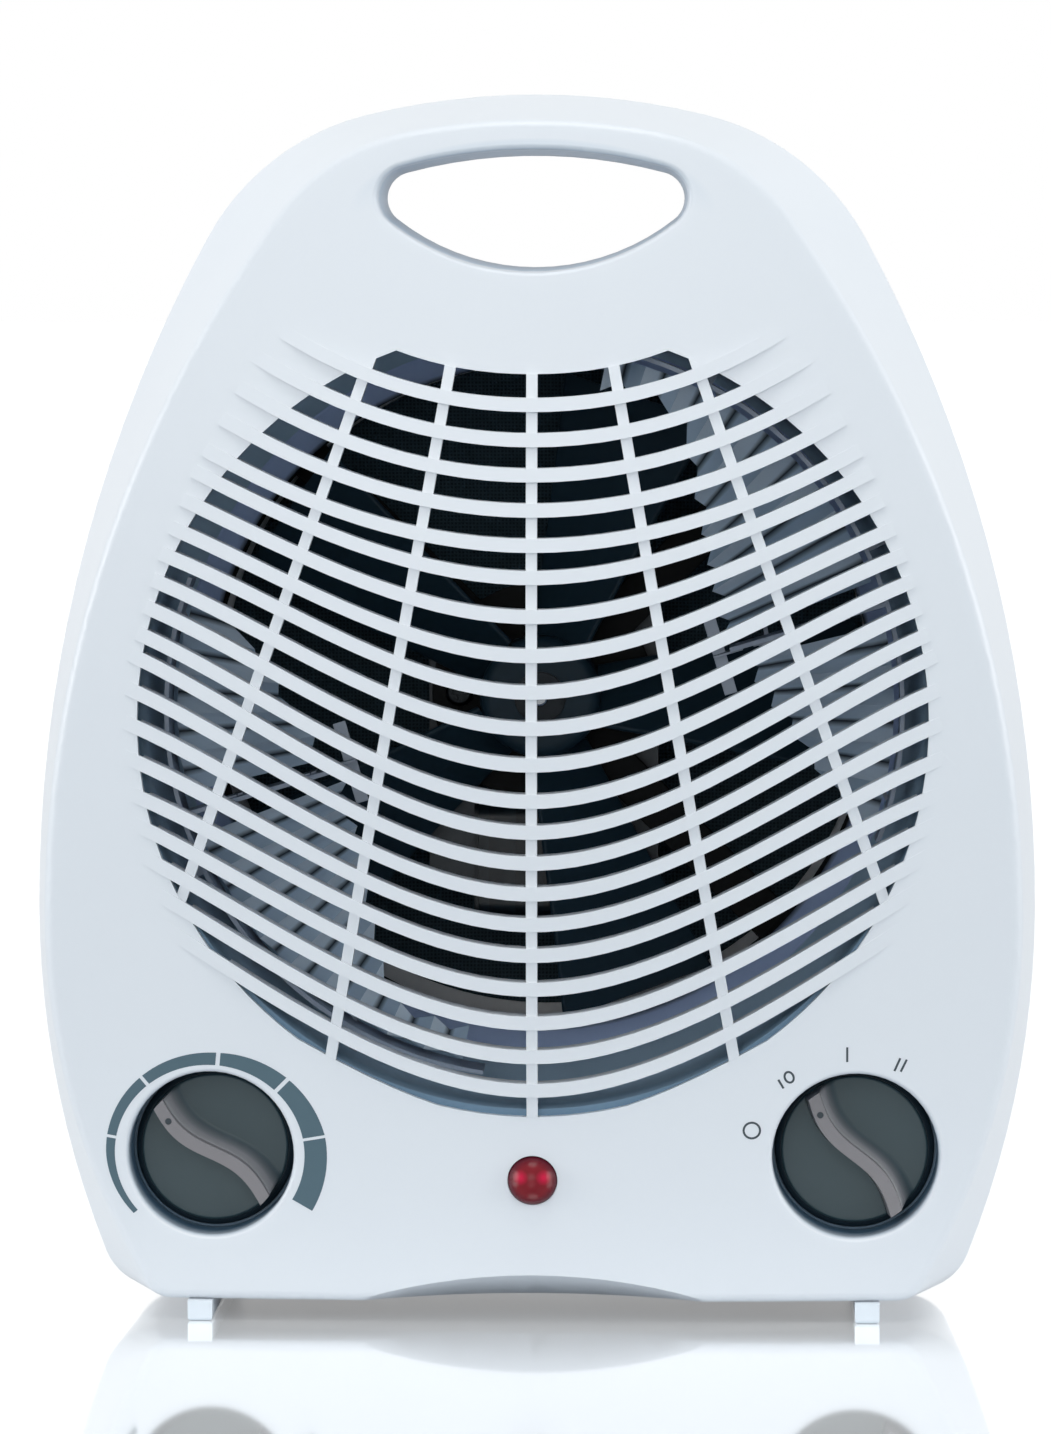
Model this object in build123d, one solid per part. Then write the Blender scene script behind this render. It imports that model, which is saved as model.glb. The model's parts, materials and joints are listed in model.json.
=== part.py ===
from build123d import *
import math
import os

# Fan heater. Millimetres. The front faces -Y, +Z is up. The origin is on the floor, under the body's middle.

# Body outline, seen from the front: five tangent arcs a side and a flat underside. In order: half width, top,
# then the radii of the top, the shoulder, the side, the lower side and the bottom corner.
parting_outline = (104.9, 255.6, 150.0, 52.0, 292.0, 200.0, 12.0)
edge_outline = (101.1, 248.6, 143.0, 45.0, 234.0, 140.0, 4.0)
widest_height = 85.2
body_bottom = 4.3

# Body depth
body_depth = 118.0
parting_depth = 34.0
edge_depth = 9.0
wall = 2.3
rear_draft = 3.0
panel_sphere = 900.0
front_edge_round = 2.5
rear_sphere = 300.0
rear_dome_height = 100.0
rear_edge_round = 8.5
tongue_thickness = 1.2
tongue_height = 2.4

# Outlet: the round opening, its wavy slats and the ribs behind them
outlet_height = 127.6
outlet_radius = 81.8
opening_drop = 2.0
slat_proud = 4.4
slat_width = 2.9
slat_thickness = 6.0
dome_reach_x = 86.0
dome_reach_z = 100.0
first_slat_height = 191.3
slat_pitches = [7.2] * 4 + [6.6] + [8.0] * 2 + [7.5] * 4 + [6.4] * 5 + [7.1] * 4
rib_width = 2.3
rib_setback = 0.9
rib_thickness = 3.4
rib_fan_height = 168.0
rib_angles = (-19.4, -9.9, 0.0, 9.9, 19.4)

# Waves of the outlet: height in the middle, then how far out the fluted end lies, its rise and its slope
top_edge_wave = (197.6, 48.6, 16.9, 0.8)
bottom_edge_wave = (42.7, 80.5, 34.2, 0.45)
key_waves = (
    (53.8, 16.5, 0.66),
    (67.5, 19.5, 0.55),
    (76.8, 28.2, 0.38),
    (83.2, 36.2, 0.45),
    (85.7, 33.8, 0.37),
    (85.0, 39.0, 0.62),
)
slats_per_key = 4

# Carrying handle: a lens-shaped hole with rounded ends, narrowest at the parting line
handle_top = 242.8
handle_bottom = 219.6
handle_top_radius = 105.0
handle_bottom_radius = 46.8
handle_end_radius = 5.5
handle_draft = 1.6
handle_rear_draft = 5.0
handle_lip_round = 1.1

# Shallow arch along the foot of the front
arch_half_width = 40.0
arch_rise = 5.9
arch_slope = 0.4

# Knobs and their wells
knob_offset = 67.0
knob_height = 35.5
well_radius = 17.3
well_wall = 1.6
well_lip_round = 1.0
well_floor_depth = 26.8
well_floor = 1.6
knob_radius = 15.4
knob_gap = 0.5
disc_thickness = 3.2
disc_edge_round = 0.6
grip_height = 10.2
grip_length = 30.0
grip_top_width = 2.7
grip_foot_width = 4.3
grip_wave = 1.65
grip_wave_length = 31.0
grip_sink = 1.2
grip_end_inset = 0.4
thermostat_rest_angle = 47.3
selector_rest_angle = 34.4
pointer_dot_radius = 0.7
pointer_dot_circle = 11.0
pointer_dot_depth = 0.4
knob_hub_radius = 4.6
knob_hub_length = 5.0
knob_bore_depth = 6.2
hub_hole_gap = 0.6

# Controls behind the wells
control_shaft_radius = 3.0
control_shaft_flat = 0.7
control_bore_depth = 7.0
control_bush_radius = 5.0
control_bush_length = 2.2
control_ear_length = 37.0
control_ear_width = 12.0
control_ear_thickness = 1.5
control_ear_spacing = 30.0
control_post_radius = 3.2
control_post_length = 5.6
control_screw_radius = 1.4
control_screw_length = 6.0
control_screw_head = 2.6
control_screw_head_height = 1.8
thermostat_block = (21.0, 9.0, 24.0)
thermostat_strip = (9.0, 0.7, 30.0)
thermostat_strip_pitch = 2.4
switch_block = (22.0, 15.0, 24.0)
tab_size = (4.8, 8.0, 0.8)
tab_spacing = 9.0

# Pilot lamp
lamp_height = 30.4
lamp_radius = 5.1
lamp_dome = 3.2
lamp_length = 14.0
lamp_wall = 1.1
lamp_flange_radius = 6.8
lamp_flange_thickness = 1.2
lamp_boss_wall = 1.4
lamp_boss_length = 9.0
neon_radius = 2.7
neon_length = 11.0
lamp_clip_thickness = 0.8

# Air duct and fan shroud
duct_front_radius = 82.4
slat_tuck = 1.2  # how far the slats' rear ends stay inside the duct's rim
duct_rear_radius = 77.0
duct_wall = 1.6
duct_rear_y = 0.0
shroud_bore = 71.3
shroud_front_radius = 76.6
shroud_mouth = 8.0
shroud_length = 22.0
flange_radius = 84.0
flange_thickness = 1.8
ear_circle = 88.5
ear_radius = 5.2
ear_angles = (45, 135, 225, 315)
duct_post_radius = 3.8
duct_screw_radius = 1.5
duct_screw_length = 12.0
duct_screw_head = 2.8
duct_screw_head_height = 2.0
spider_width = 9.0
spider_thickness = 3.0
spider_disc_radius = 24.0
spider_hole = 6.5

# Heating banks: a zigzag ribbon in two runs along an arc plate, upper right and lower left.
# Each run: where it starts and ends, and which way its straight inner edge faces
bank_runs = ((78.4, 20.0, 11.5), (13.6, -18.6, 34.0))
bank_fold_angle = 3.2
bank_chord_distance = 42.4
bank_near_limit = 69.0
bank_outer_radius = 76.2
bank_y = -33.0
bank_fold_gap = 1.2
ribbon_depth = 6.0
ribbon_tooth = 1.3
ribbon_thickness = 0.5
mica_thickness = 0.9
mica_width = 13.0
mica_tail_angle = 16.5
bank_tip_angle = 82.0
bank_foot_angle = -21.0
strip_distance = 50.0
lug_angles = (26.0, 62.0)
lug_width = 6.0
lug_proud = 1.8
strap_width = 2.7
strap_length = 17.4
strap_thickness = 0.5
strap_head = 5.0
strap_foot = 40.2
terminal_tab_places = (50.0, 66.0)

# Safety devices on the duct's outside
cutout_radius = 7.6
cutout_height = 8.0
cutout_y = -26.0
cutout_plate = (10.0, 24.0)
fuse_radius = 2.0
fuse_length = 12.0
fuse_lead_radius = 0.5
fuse_lead_length = 9.0
safety_seat = 84.5

# Fan
fan_radius = 67.5
fan_hub_radius = 13.0
fan_hub_length = 15.0
fan_hub_wall = 1.8
fan_hub_round = 2.5
fan_boss_radius = 4.0
fan_front_y = 3.0
blade_count = 5
blade_thickness = 1.5
blade_root_chord = 18.0
blade_tip_chord = 36.0
blade_root_pitch = 48.0
blade_tip_pitch = 22.0
fan_clip_radius = 5.5
fan_clip_thickness = 0.8

# Motor: shaded-pole, on the shroud's spider
motor_shaft_radius = 1.6
motor_shaft_front = 3.0
motor_shaft_rear = 52.0
bush_radius = 4.0
bush_length = 5.0
running_clearance = 0.04
stator_front_y = 31.0
stator_thickness = 13.0
stator_half_width = 25.0
stator_top = 19.0
stator_foot = 42.0
stator_limb = 10.0
stator_window_top = 19.5
rotor_radius = 10.6
air_gap = 0.4
coil_thickness = 6.2
bobbin_wall = 0.8
bobbin_flange = 0.9
bracket_thickness = 1.2
bracket_bridge = 4.4
bracket_width = 13.0
bracket_half_length = 23.5
bracket_leg = 12.0
motor_screw_offset = 18.0
motor_screw_radius = 1.6
motor_screw_head = 3.0
motor_screw_head_height = 2.2
motor_nut_height = 2.4
motor_nut_across = 5.5
spider_boss_radius = 3.6

# Case screws and their posts
case_screw_places = ((86.0, 62.0), (76.0, 186.0))
case_screw_radius = 1.75
case_screw_head = 3.4
case_screw_head_height = 2.4
case_screw_length = 20.0
case_screw_seat = 4.0
case_post_radius = 4.4
case_head_hole = 4.0
case_hole_wall = 1.6

# Intake grille in the back
intake_radius = 60.0
intake_slot = 4.0
intake_bar = 3.2
intake_rib_offsets = (-30.0, 0.0, 30.0)
intake_rib_width = 3.4
gauze_overlap = 11.0
gauze_thickness = 0.6

# Feet
foot_offset = 69.6
foot_width = 5.1
foot_front_inset = 14.0
foot_length = 86.0
foot_edge_round = 0.8
foot_peg_radius = 1.8
foot_peg_length = 2.3
foot_peg_places = (-12.0, 26.0)

# Cord gland and terminal block
gland_offset = 44.0
gland_height = 24.0
gland_radius = 5.8
gland_bore = 3.1
gland_flange_radius = 8.0
gland_flange = 1.6
gland_inner_flange_radius = 7.2
gland_sleeve_radius = 4.4
gland_sleeve_length = 5.0
gland_pad_radius = 9.5
gland_pad_depth = 3.4
terminal_size = (44.0, 15.0, 11.0)
terminal_offset = -18.0
terminal_y = 12.0
terminal_poles = 4
terminal_screw_radius = 1.8
terminal_cheek = 1.2
terminal_wire_radius = 1.5
terminal_screw_sink = 1.5

# Clearances
slip_gap = 0.1
seat_gap = 0.3
tongue_gap = 0.15

# Places that follow from the sizes above
front_y = -body_depth / 2
rear_y = body_depth / 2
parting_y = front_y + parting_depth
edge_y = front_y + edge_depth
panel_y = front_y + slat_proud
panel_centre = (0, panel_y + panel_sphere, outlet_height)
rear_centre = (0, rear_y - rear_sphere, rear_dome_height)
well_floor_y = front_y + well_floor_depth
well_back_y = well_floor_y + well_floor
disc_rear_y = well_floor_y - knob_gap
disc_front_y = disc_rear_y - disc_thickness
hub_rear_y = disc_rear_y + knob_hub_length
ear_front_y = well_back_y + control_post_length
ear_rear_y = ear_front_y + control_ear_thickness
fan_rear_y = fan_front_y + fan_hub_length
shroud_rear_y = duct_rear_y + shroud_length
spider_rear_y = shroud_rear_y + spider_thickness
stator_rear_y = stator_front_y + stator_thickness
hub_hole_radius = knob_hub_radius + hub_hole_gap
shaft_front_y = hub_rear_y - knob_bore_depth
shaft_end_y = ear_rear_y + control_bore_depth
strip_y = bank_y + ribbon_depth / 2 + ribbon_thickness + seat_gap
lamp_boss_radius = lamp_flange_radius + slip_gap + lamp_boss_wall
case_pilot_y = parting_y + case_screw_seat - case_screw_length - 1


def polar(centre, radius, degrees):
    """A point at that radius and angle from a 2D centre."""
    angle = math.radians(degrees)
    return (centre[0] + radius * math.cos(angle), centre[1] + radius * math.sin(angle))


def direction(start, end):
    """The angle of the line from one 2D point to another, in degrees."""
    return math.degrees(math.atan2(end[1] - start[1], end[0] - start[0]))


def circles_meet(centre_a, radius_a, centre_b, radius_b):
    """The meeting point of two circles that lies furthest up and to +X."""
    gap = math.dist(centre_a, centre_b)
    along = (radius_a**2 - radius_b**2 + gap**2) / (2 * gap)
    aside = math.sqrt(radius_a**2 - along**2)
    ux = (centre_b[0] - centre_a[0]) / gap
    uz = (centre_b[1] - centre_a[1]) / gap
    foot = (centre_a[0] + along * ux, centre_a[1] + along * uz)
    points = [(foot[0] - s * aside * uz, foot[1] + s * aside * ux) for s in (1, -1)]
    return max(points, key=sum)


def at_depth(y):
    """The upright plane at that depth, with X to the right and Z up."""
    return Plane.XZ.offset(-y)


def sphere_dip(radius, reach):
    """How far a sphere falls back from its apex at that reach."""
    return radius - math.sqrt(radius**2 - reach**2)


def panel_front(x, z):
    """Depth of the front panel's surface at that place."""
    return panel_y + sphere_dip(panel_sphere, math.hypot(x, z - outlet_height))


def back_surface(x, z):
    """Depth of the back's surface at that place."""
    return rear_y - sphere_dip(rear_sphere, math.hypot(x, z - rear_dome_height))


def rod(radius, y_start, y_end, x=0.0, z=0.0):
    """A round bar along Y."""
    return Pos(x, (y_start + y_end) / 2, z) * Rot(90, 0, 0) * Cylinder(radius, abs(y_end - y_start))


def tube(outer, inner, y_start, y_end, x=0.0, z=0.0):
    """A round tube along Y."""
    return rod(outer, y_start, y_end, x, z) - rod(inner, y_start - 1, y_end + 1, x, z)


def block(x_range, y_range, z_range):
    """A box between those limits."""
    size = [high - low for low, high in (x_range, y_range, z_range)]
    middle = [(high + low) / 2 for low, high in (x_range, y_range, z_range)]
    return Pos(*middle) * Box(*size)


def around(middle, length):
    """The low and high ends of a length about its middle."""
    return (middle - length / 2, middle + length / 2)


def about_fan_axis(shape):
    """Moves a shape built round the Y axis to the fan's axis."""
    return Pos(0, 0, outlet_height) * shape


def body_face(outline, inset, floor_inset, y):
    """A body outline at that depth, drawn in by inset and lifted off the floor line by floor_inset."""
    half_width, crown, top_radius, shoulder_radius, side_radius, lower_radius, corner_radius = outline
    top = (0, crown - top_radius)
    side = (half_width - side_radius, widest_height)
    lower = (half_width - lower_radius, widest_height)
    shoulder = circles_meet(top, top_radius - shoulder_radius, side, side_radius - shoulder_radius)
    floor_z = body_bottom + floor_inset
    corner_z = floor_z + corner_radius - inset
    reach = lower_radius - corner_radius
    corner = (lower[0] + math.sqrt(reach**2 - (widest_height - corner_z) ** 2), corner_z)
    to_corner = direction(lower, corner)
    to_shoulder = direction(side, shoulder)
    to_top = direction(top, shoulder)
    arcs = [
        (corner, corner_radius, -90, to_corner),
        (lower, lower_radius, to_corner, 0),
        (side, side_radius, 0, to_shoulder),
        (shoulder, shoulder_radius, to_shoulder, to_top),
    ]
    edges = [CenterArc(c, r - inset, a, b - a) for c, r, a, b in arcs]
    edges.append(CenterArc(top, top_radius - inset, to_top, 180 - 2 * to_top))
    edges += [CenterArc((-c[0], c[1]), r - inset, 180 - b, b - a) for c, r, a, b in reversed(arcs)]
    edges.append(Line((-corner[0], floor_z), (corner[0], floor_z)))
    return at_depth(y) * make_face(edges)


def handle_face(outset, y):
    """The handle hole's outline at that depth, let out by outset."""
    top = (0, handle_top - handle_top_radius)
    bottom = (0, handle_bottom + handle_bottom_radius)
    reaches = (handle_top_radius - handle_end_radius, handle_bottom_radius - handle_end_radius)
    end = circles_meet(top, reaches[0], bottom, reaches[1])
    to_top = direction(top, end)
    to_bottom = direction(bottom, end)
    edges = [
        CenterArc(end, handle_end_radius + outset, to_bottom, to_top - to_bottom),
        CenterArc(top, handle_top_radius + outset, to_top, 180 - 2 * to_top),
        CenterArc((-end[0], end[1]), handle_end_radius + outset, 180 - to_top, to_top - to_bottom),
        CenterArc(bottom, handle_bottom_radius + outset, 180 - to_bottom, 180 + 2 * to_bottom),
    ]
    return at_depth(y) * make_face(edges)


def on_sphere(edge, centre, radius):
    """Whether an edge lies on that sphere."""
    spots = [edge @ t for t in (0.1, 0.5, 0.9)]
    return all(abs(math.dist(tuple(p), centre) - radius) < 0.01 for p in spots)


def front_form(inset, edge_round):
    """The front cover's outer form, drawn in by inset."""
    faces = [body_face(parting_outline, inset, inset, parting_y)]
    faces += [body_face(edge_outline, inset, inset, y) for y in (edge_y, front_y - 1)]
    form = loft(faces, ruled=True) & Pos(*panel_centre) * Sphere(panel_sphere - inset)
    if edge_round:
        rim = [e for e in form.edges() if on_sphere(e, panel_centre, panel_sphere - inset)]
        form = fillet(rim, edge_round)
    return form


def rear_form(inset, edge_round):
    """The rear cover's outer form, drawn in by inset."""
    faces = [body_face(parting_outline, inset, inset, parting_y)]
    faces.append(body_face(parting_outline, inset + rear_draft, inset, rear_y + 1))
    form = loft(faces, ruled=True) & Pos(*rear_centre) * Sphere(rear_sphere - inset)
    rim = [e for e in form.edges() if on_sphere(e, rear_centre, rear_sphere - inset)]
    return fillet(rim, edge_round)


def wave_points(wave):
    """The four control points of a wave's right half."""
    height, reach, rise, slope = wave
    return [
        (0, height),
        (reach / 3, height),
        (2 * reach / 3, height + rise - slope * reach / 3),
        (reach, height + rise),
    ]


def wave_edge(wave, side, shift):
    """Half a wave, from the middle out to that side, moved across itself by shift."""
    slope = wave[3]
    length = math.hypot(1, slope)
    near, far = wave_points(wave)[:2], wave_points(wave)[2:]
    moved = [(x, z + shift) for x, z in near]
    moved += [(x - shift * slope / length, z + shift / length) for x, z in far]
    return Bezier(*[(side * x, z) for x, z in moved])


def band_face(wave, width):
    """A band of that width along a wave, seen from the front."""
    edges = [wave_edge(wave, side, shift) for side in (1, -1) for shift in (width / 2, -width / 2)]
    edges += [Line(edges[i] @ 1, edges[i + 1] @ 1) for i in (0, 2)]
    return make_face(edges)


def beyond_wave(wave, end_height):
    """The region between a wave and a level line above or below it, seen from the front."""
    right, left = wave_edge(wave, 1, 0), wave_edge(wave, -1, 0)
    corners = [right @ 1, ((right @ 1).X, end_height), ((left @ 1).X, end_height), left @ 1]
    return make_face([right, left, Polyline(*corners)])


def slat_waves():
    """Every slat's wave, from the top down, blended between the key waves."""
    waves = []
    height = first_slat_height
    for i in range(len(slat_pitches) + 1):
        key, part = divmod(i, slats_per_key)
        low = key_waves[key]
        high = key_waves[min(key + 1, len(key_waves) - 1)]
        t = part / slats_per_key
        waves.append((height, *[a + (b - a) * t for a, b in zip(low, high)]))
        if i < len(slat_pitches):
            height -= slat_pitches[i]
    return waves


def dome_radius(reach):
    """The slat dome's radius, so that it meets the panel's surface at that reach."""
    return reach**2 / (2 * (slat_proud + reach**2 / (2 * panel_sphere)))


def slat_dome(apex_y):
    """The solid behind the domed front of the slats, with its apex at that depth."""
    across, upright = dome_radius(dome_reach_x), dome_radius(dome_reach_z)
    half = outlet_radius + dome_reach_z / 2
    dip = sphere_dip(upright, half)
    axis_y = apex_y + across
    arc = ThreePointArc((apex_y + dip, -half), (apex_y, 0), (apex_y + dip, half))
    rest = Polyline((apex_y + dip, half), (axis_y, half), (axis_y, -half), (apex_y + dip, -half))
    profile = Plane.YZ * make_face([arc, rest])
    return about_fan_axis(revolve(profile, Axis((0, axis_y, 0), (0, 0, 1))))


def slat_grid():
    """The wavy slats and the radial ribs behind them, in one piece."""
    length = body_depth
    bands = Sketch() + [band_face(wave, slat_width) for wave in slat_waves()]
    slats = extrude(at_depth(front_y - 1) * bands, -length)
    slats = slats & slat_dome(front_y) - slat_dome(front_y + slat_thickness)
    bars = Part()
    for angle in rib_angles:
        bar = Pos(0, 0, -rib_fan_height) * Box(rib_width, length, 2 * rib_fan_height)
        bars += about_fan_axis(Pos(0, 0, rib_fan_height) * Rot(0, angle, 0) * bar)
    rib_front = front_y + rib_setback
    ribs = bars & (slat_dome(rib_front) - slat_dome(rib_front + rib_thickness)) & outlet_prism()
    behind = Pos(*panel_centre) * Sphere(panel_sphere - wall / 2)
    clear = opening_rod(rear_y) & rod(duct_front_radius - slat_tuck, front_y, rear_y, 0, outlet_height)
    return slats + ribs - (behind - clear)


def opening_rod(to_y):
    """The round of the outlet's opening, whose middle lies a little below the fan's axis."""
    return rod(outlet_radius, front_y - 1, to_y, 0, outlet_height - opening_drop)


def outlet_prism():
    """The outlet's opening, between its two wavy edges, as a long prism."""
    height = outlet_height + 2 * outlet_radius
    above = extrude(at_depth(front_y - 2) * beyond_wave(top_edge_wave, height), -body_depth)
    below = extrude(at_depth(front_y - 2) * beyond_wave(bottom_edge_wave, -height), -body_depth)
    return opening_rod(0) - above - below


def arch_cut(outset):
    """The arch under the front, sloping down as it goes back, let out by outset."""
    half = arch_half_width + outset
    crown = (0, body_bottom + arch_rise + outset)
    below = body_bottom - body_depth
    ends = [(side * half, body_bottom) for side in (-1, 1)]
    start = panel_front(0, crown[1])
    edges = [ThreePointArc(ends[0], crown, ends[1])]
    edges.append(Polyline(ends[1], (half, below), (-half, below), ends[0]))
    back = extrude(at_depth(start) * make_face(edges), body_depth, dir=(0, 1, -arch_slope))
    return back + extrude(at_depth(start) * make_face(edges), start - front_y)


def handle_block(outset, to_y, draft):
    """The handle hole from the parting line to that depth, opening out by the draft, let out by outset."""
    return loft([handle_face(outset, parting_y), handle_face(outset + draft, to_y)], ruled=True)


def rods_at(places, radius, y_start, y_end):
    """A round bar along Y at each place."""
    return Part() + [rod(radius, y_start, y_end, x, z) for x, z in places]


def case_places():
    """Where the case screws stand."""
    return [(side * x, z) for x, z in case_screw_places for side in (-1, 1)]


def ear_places():
    """Where the duct's screws stand."""
    return [polar((0, outlet_height), ear_circle, angle) for angle in ear_angles]


def knob_places():
    """Where the two knobs stand."""
    return [(side * knob_offset, knob_height) for side in (-1, 1)]


def control_places():
    """Where the screws of the two controls stand."""
    ear = control_ear_spacing / 2
    return [(x + end * ear, z) for x, z in knob_places() for end in (-1, 1)]


def front_stiffeners():
    """The walls and posts inside the front cover, up to the parting line."""
    walls = handle_block(wall, front_y - 1, handle_draft)
    walls += rods_at(knob_places(), well_radius + well_wall, front_y, well_back_y)
    walls += rods_at(control_places(), control_post_radius, well_floor_y, ear_front_y)
    walls += rods_at(case_places(), case_post_radius, front_y, parting_y)
    walls += rods_at(ear_places(), duct_post_radius, front_y, parting_y)
    walls += rod(lamp_boss_radius, front_y, lamp_seat_y + lamp_boss_length, 0, lamp_height)
    return walls & front_form(wall / 2, 0) - arch_cut(wall / 2)


def front_cavities():
    """What is cut out of the front cover beside the outlet: handle hole, wells, lamp and screw holes."""
    before = front_y - 1
    ear_seat = duct_rear_y - flange_thickness
    lamp_end = lamp_seat_y + lamp_boss_length
    cuts = handle_block(0, before, handle_draft)
    cuts += rods_at(knob_places(), well_radius, before, well_floor_y)
    cuts += rods_at(knob_places(), hub_hole_radius, well_floor_y, well_back_y)
    pilots = (
        (control_places(), control_screw_radius, ear_front_y - control_screw_length, ear_front_y),
        (case_places(), case_screw_radius, case_pilot_y, parting_y),
        (ear_places(), duct_screw_radius, ear_seat - duct_screw_length, ear_seat),
    )
    for places, radius, start, end in pilots:
        cuts += rods_at(places, radius + slip_gap, start, end)
    cuts += rod(lamp_radius + slip_gap, before, lamp_seat_y, 0, lamp_height)
    cuts += rod(lamp_flange_radius + slip_gap, lamp_seat_y, lamp_end, 0, lamp_height)
    return cuts


def at_well(x, z):
    """Whether a front edge at that place bounds a knob well."""
    return abs(math.dist((x, z), (knob_offset, knob_height)) - well_radius) < 0.1


def at_handle(x, z):
    """Whether a front edge at that place bounds the handle hole."""
    return x < knob_offset / 2 and handle_bottom - 2 * handle_draft < z < handle_top + handle_draft


def soften(cover, at_place, radius):
    """The front cover with the front edges at that place rounded."""
    lips = []
    for edge in cover.edges():
        middle = edge @ 0.5
        if on_sphere(edge, panel_centre, panel_sphere) and at_place(abs(middle.X), middle.Z):
            lips.append(edge)
    return fillet(lips, radius)


def front_cover():
    """The front cover in one moulding: shell, slats, ribs, wells, posts and half of the handle."""
    shell = front_form(0, front_edge_round) - arch_cut(0) - (front_form(wall, 0) - arch_cut(wall))
    posts = rods_at(ear_places(), duct_post_radius, parting_y, duct_rear_y - flange_thickness)
    cover = shell + front_stiffeners() + posts - front_cavities()
    cover = soften(cover, at_well, well_lip_round)
    cover = soften(cover, at_handle, handle_lip_round)
    return cover - outlet_prism() + slat_grid()


def cover_tongue():
    """The ring on the rear cover that slips inside the front cover."""
    outer = wall + tongue_gap
    inner = outer + tongue_thickness
    slab = block((-body_depth, body_depth), (parting_y - tongue_height, parting_y), (0, 3 * body_depth))
    ring = (front_form(outer, 0) - front_form(inner, 0)) & slab
    root = body_face(parting_outline, wall / 2, wall / 2, parting_y)
    root -= body_face(parting_outline, inner, inner, parting_y)
    return ring + extrude(root, -wall)


def intake_slots():
    """The level slots of the intake grille, each broken by the grille's ribs."""
    slots = []
    pitch = intake_slot + intake_bar
    rows = int((intake_radius - intake_slot) / pitch)
    for row in range(-rows, rows + 1):
        half = math.sqrt(intake_radius**2 - (abs(row) * pitch + intake_slot / 2) ** 2)
        edges = [-half]
        for offset in intake_rib_offsets:
            if abs(offset) + intake_rib_width < half:
                edges += [offset - intake_rib_width / 2, offset + intake_rib_width / 2]
        edges.append(half)
        for start, end in zip(edges[::2], edges[1::2]):
            if end - start > 2 * intake_slot:
                slot = SlotOverall(end - start, intake_slot)
                slots.append(Pos((start + end) / 2, outlet_height + row * pitch) * slot)
    return extrude(at_depth(parting_y) * (Sketch() + slots), -body_depth)


def intake_gauze():
    """The fine dust gauze that lines the intake grille from inside."""
    inner = rear_sphere - wall
    layer = Pos(*rear_centre) * (Sphere(inner) - Sphere(inner - gauze_thickness))
    return layer & rod(intake_radius + gauze_overlap, 0, rear_y, 0, outlet_height)


def foot_pegs(radius, side):
    """The two pegs of a foot."""
    top = body_bottom + foot_peg_length
    pegs = [Pos(side * foot_offset, y, top / 2) * Cylinder(radius, top) for y in foot_peg_places]
    return Part() + pegs


def terminal_cheeks():
    """Two low walls that hold the terminal block endways."""
    ends = [terminal_offset + side * (terminal_size[0] + terminal_cheek) / 2 for side in (-1, 1)]
    depth = around(terminal_y, terminal_size[1])
    tall = (body_bottom + wall / 2, body_bottom + wall + terminal_size[2] * 0.6)
    return Part() + [block(around(x, terminal_cheek), depth, tall) for x in ends]


def rear_cover():
    """The rear cover: shell, intake grille, screw wells, half of the handle, gland pad and tongue."""
    beyond = rear_y + 1
    walls = handle_block(wall, beyond, handle_rear_draft)
    walls += rods_at(case_places(), case_head_hole + case_hole_wall, parting_y, rear_y)
    walls += rod(gland_pad_radius + wall, gland_seat_y - wall, rear_y, gland_offset, gland_height)
    cover = rear_form(0, rear_edge_round) - rear_form(wall, rear_edge_round - wall)
    cover += walls & rear_form(wall / 2, rear_edge_round - wall / 2)
    cover += cover_tongue() + terminal_cheeks()
    cuts = handle_block(0, beyond, handle_rear_draft)
    cuts += rods_at(case_places(), case_head_hole, parting_y + case_screw_seat, beyond)
    cuts += rods_at(case_places(), case_screw_radius + slip_gap, parting_y, parting_y + case_screw_seat)
    cuts += rod(gland_pad_radius, gland_seat_y, beyond, gland_offset, gland_height)
    cuts += rod(gland_radius + slip_gap, gland_seat_y - wall, gland_seat_y, gland_offset, gland_height)
    for side in (-1, 1):
        cuts += foot_pegs(foot_peg_radius + slip_gap, side)
    return cover - cuts - intake_slots()


def foot(side):
    """A narrow foot under both covers, with pegs up into the rear one."""
    front = front_y + foot_front_inset
    x = side * foot_offset
    strip = block(around(x, foot_width), (front, front + foot_length), (0, body_bottom))
    strip = fillet(strip.edges().group_by(Axis.Z)[0], foot_edge_round)
    return strip + foot_pegs(foot_peg_radius, side)


def screw(shank, head, head_height, y_seat, y_tip, x, z):
    """A pan-head screw along Y with a cross recess in its head, which lies beyond the seat from the tip."""
    away = math.copysign(1, y_seat - y_tip)
    body = rod(shank, y_tip, y_seat, x, z)
    cap = rod(head, y_seat, y_seat + away * head_height, x, z)
    rim = cap.edges().filter_by(GeomType.CIRCLE).sort_by(lambda e: away * e.center().Y)[-1]
    cap = fillet(rim, head_height * 0.4)
    deep = head_height * 0.55
    y_top = y_seat + away * head_height
    arm = head * 1.1
    recess = sorted((y_top - away * deep, y_top + away))
    for size in ((arm, head * 0.28), (head * 0.28, arm)):
        cap -= block(around(x, size[0]), recess, around(z, size[1]))
    return body + cap


def screws(places, shank, head, head_height, y_seat, y_tip):
    """The same screw at each place."""
    return Part() + [screw(shank, head, head_height, y_seat, y_tip, x, z) for x, z in places]


def case_screws():
    """The four screws that hold the rear cover to the front one."""
    seat = parting_y + case_screw_seat
    tip = seat - case_screw_length
    return screws(case_places(), case_screw_radius, case_screw_head, case_screw_head_height, seat, tip)


def ring_of_revolution(points):
    """A solid turned round the fan's axis from a closed profile of (radius, y) points."""
    face = make_face(Polyline(*points, close=True))
    turned = revolve(face, Axis.Y)
    return about_fan_axis(turned)


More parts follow.
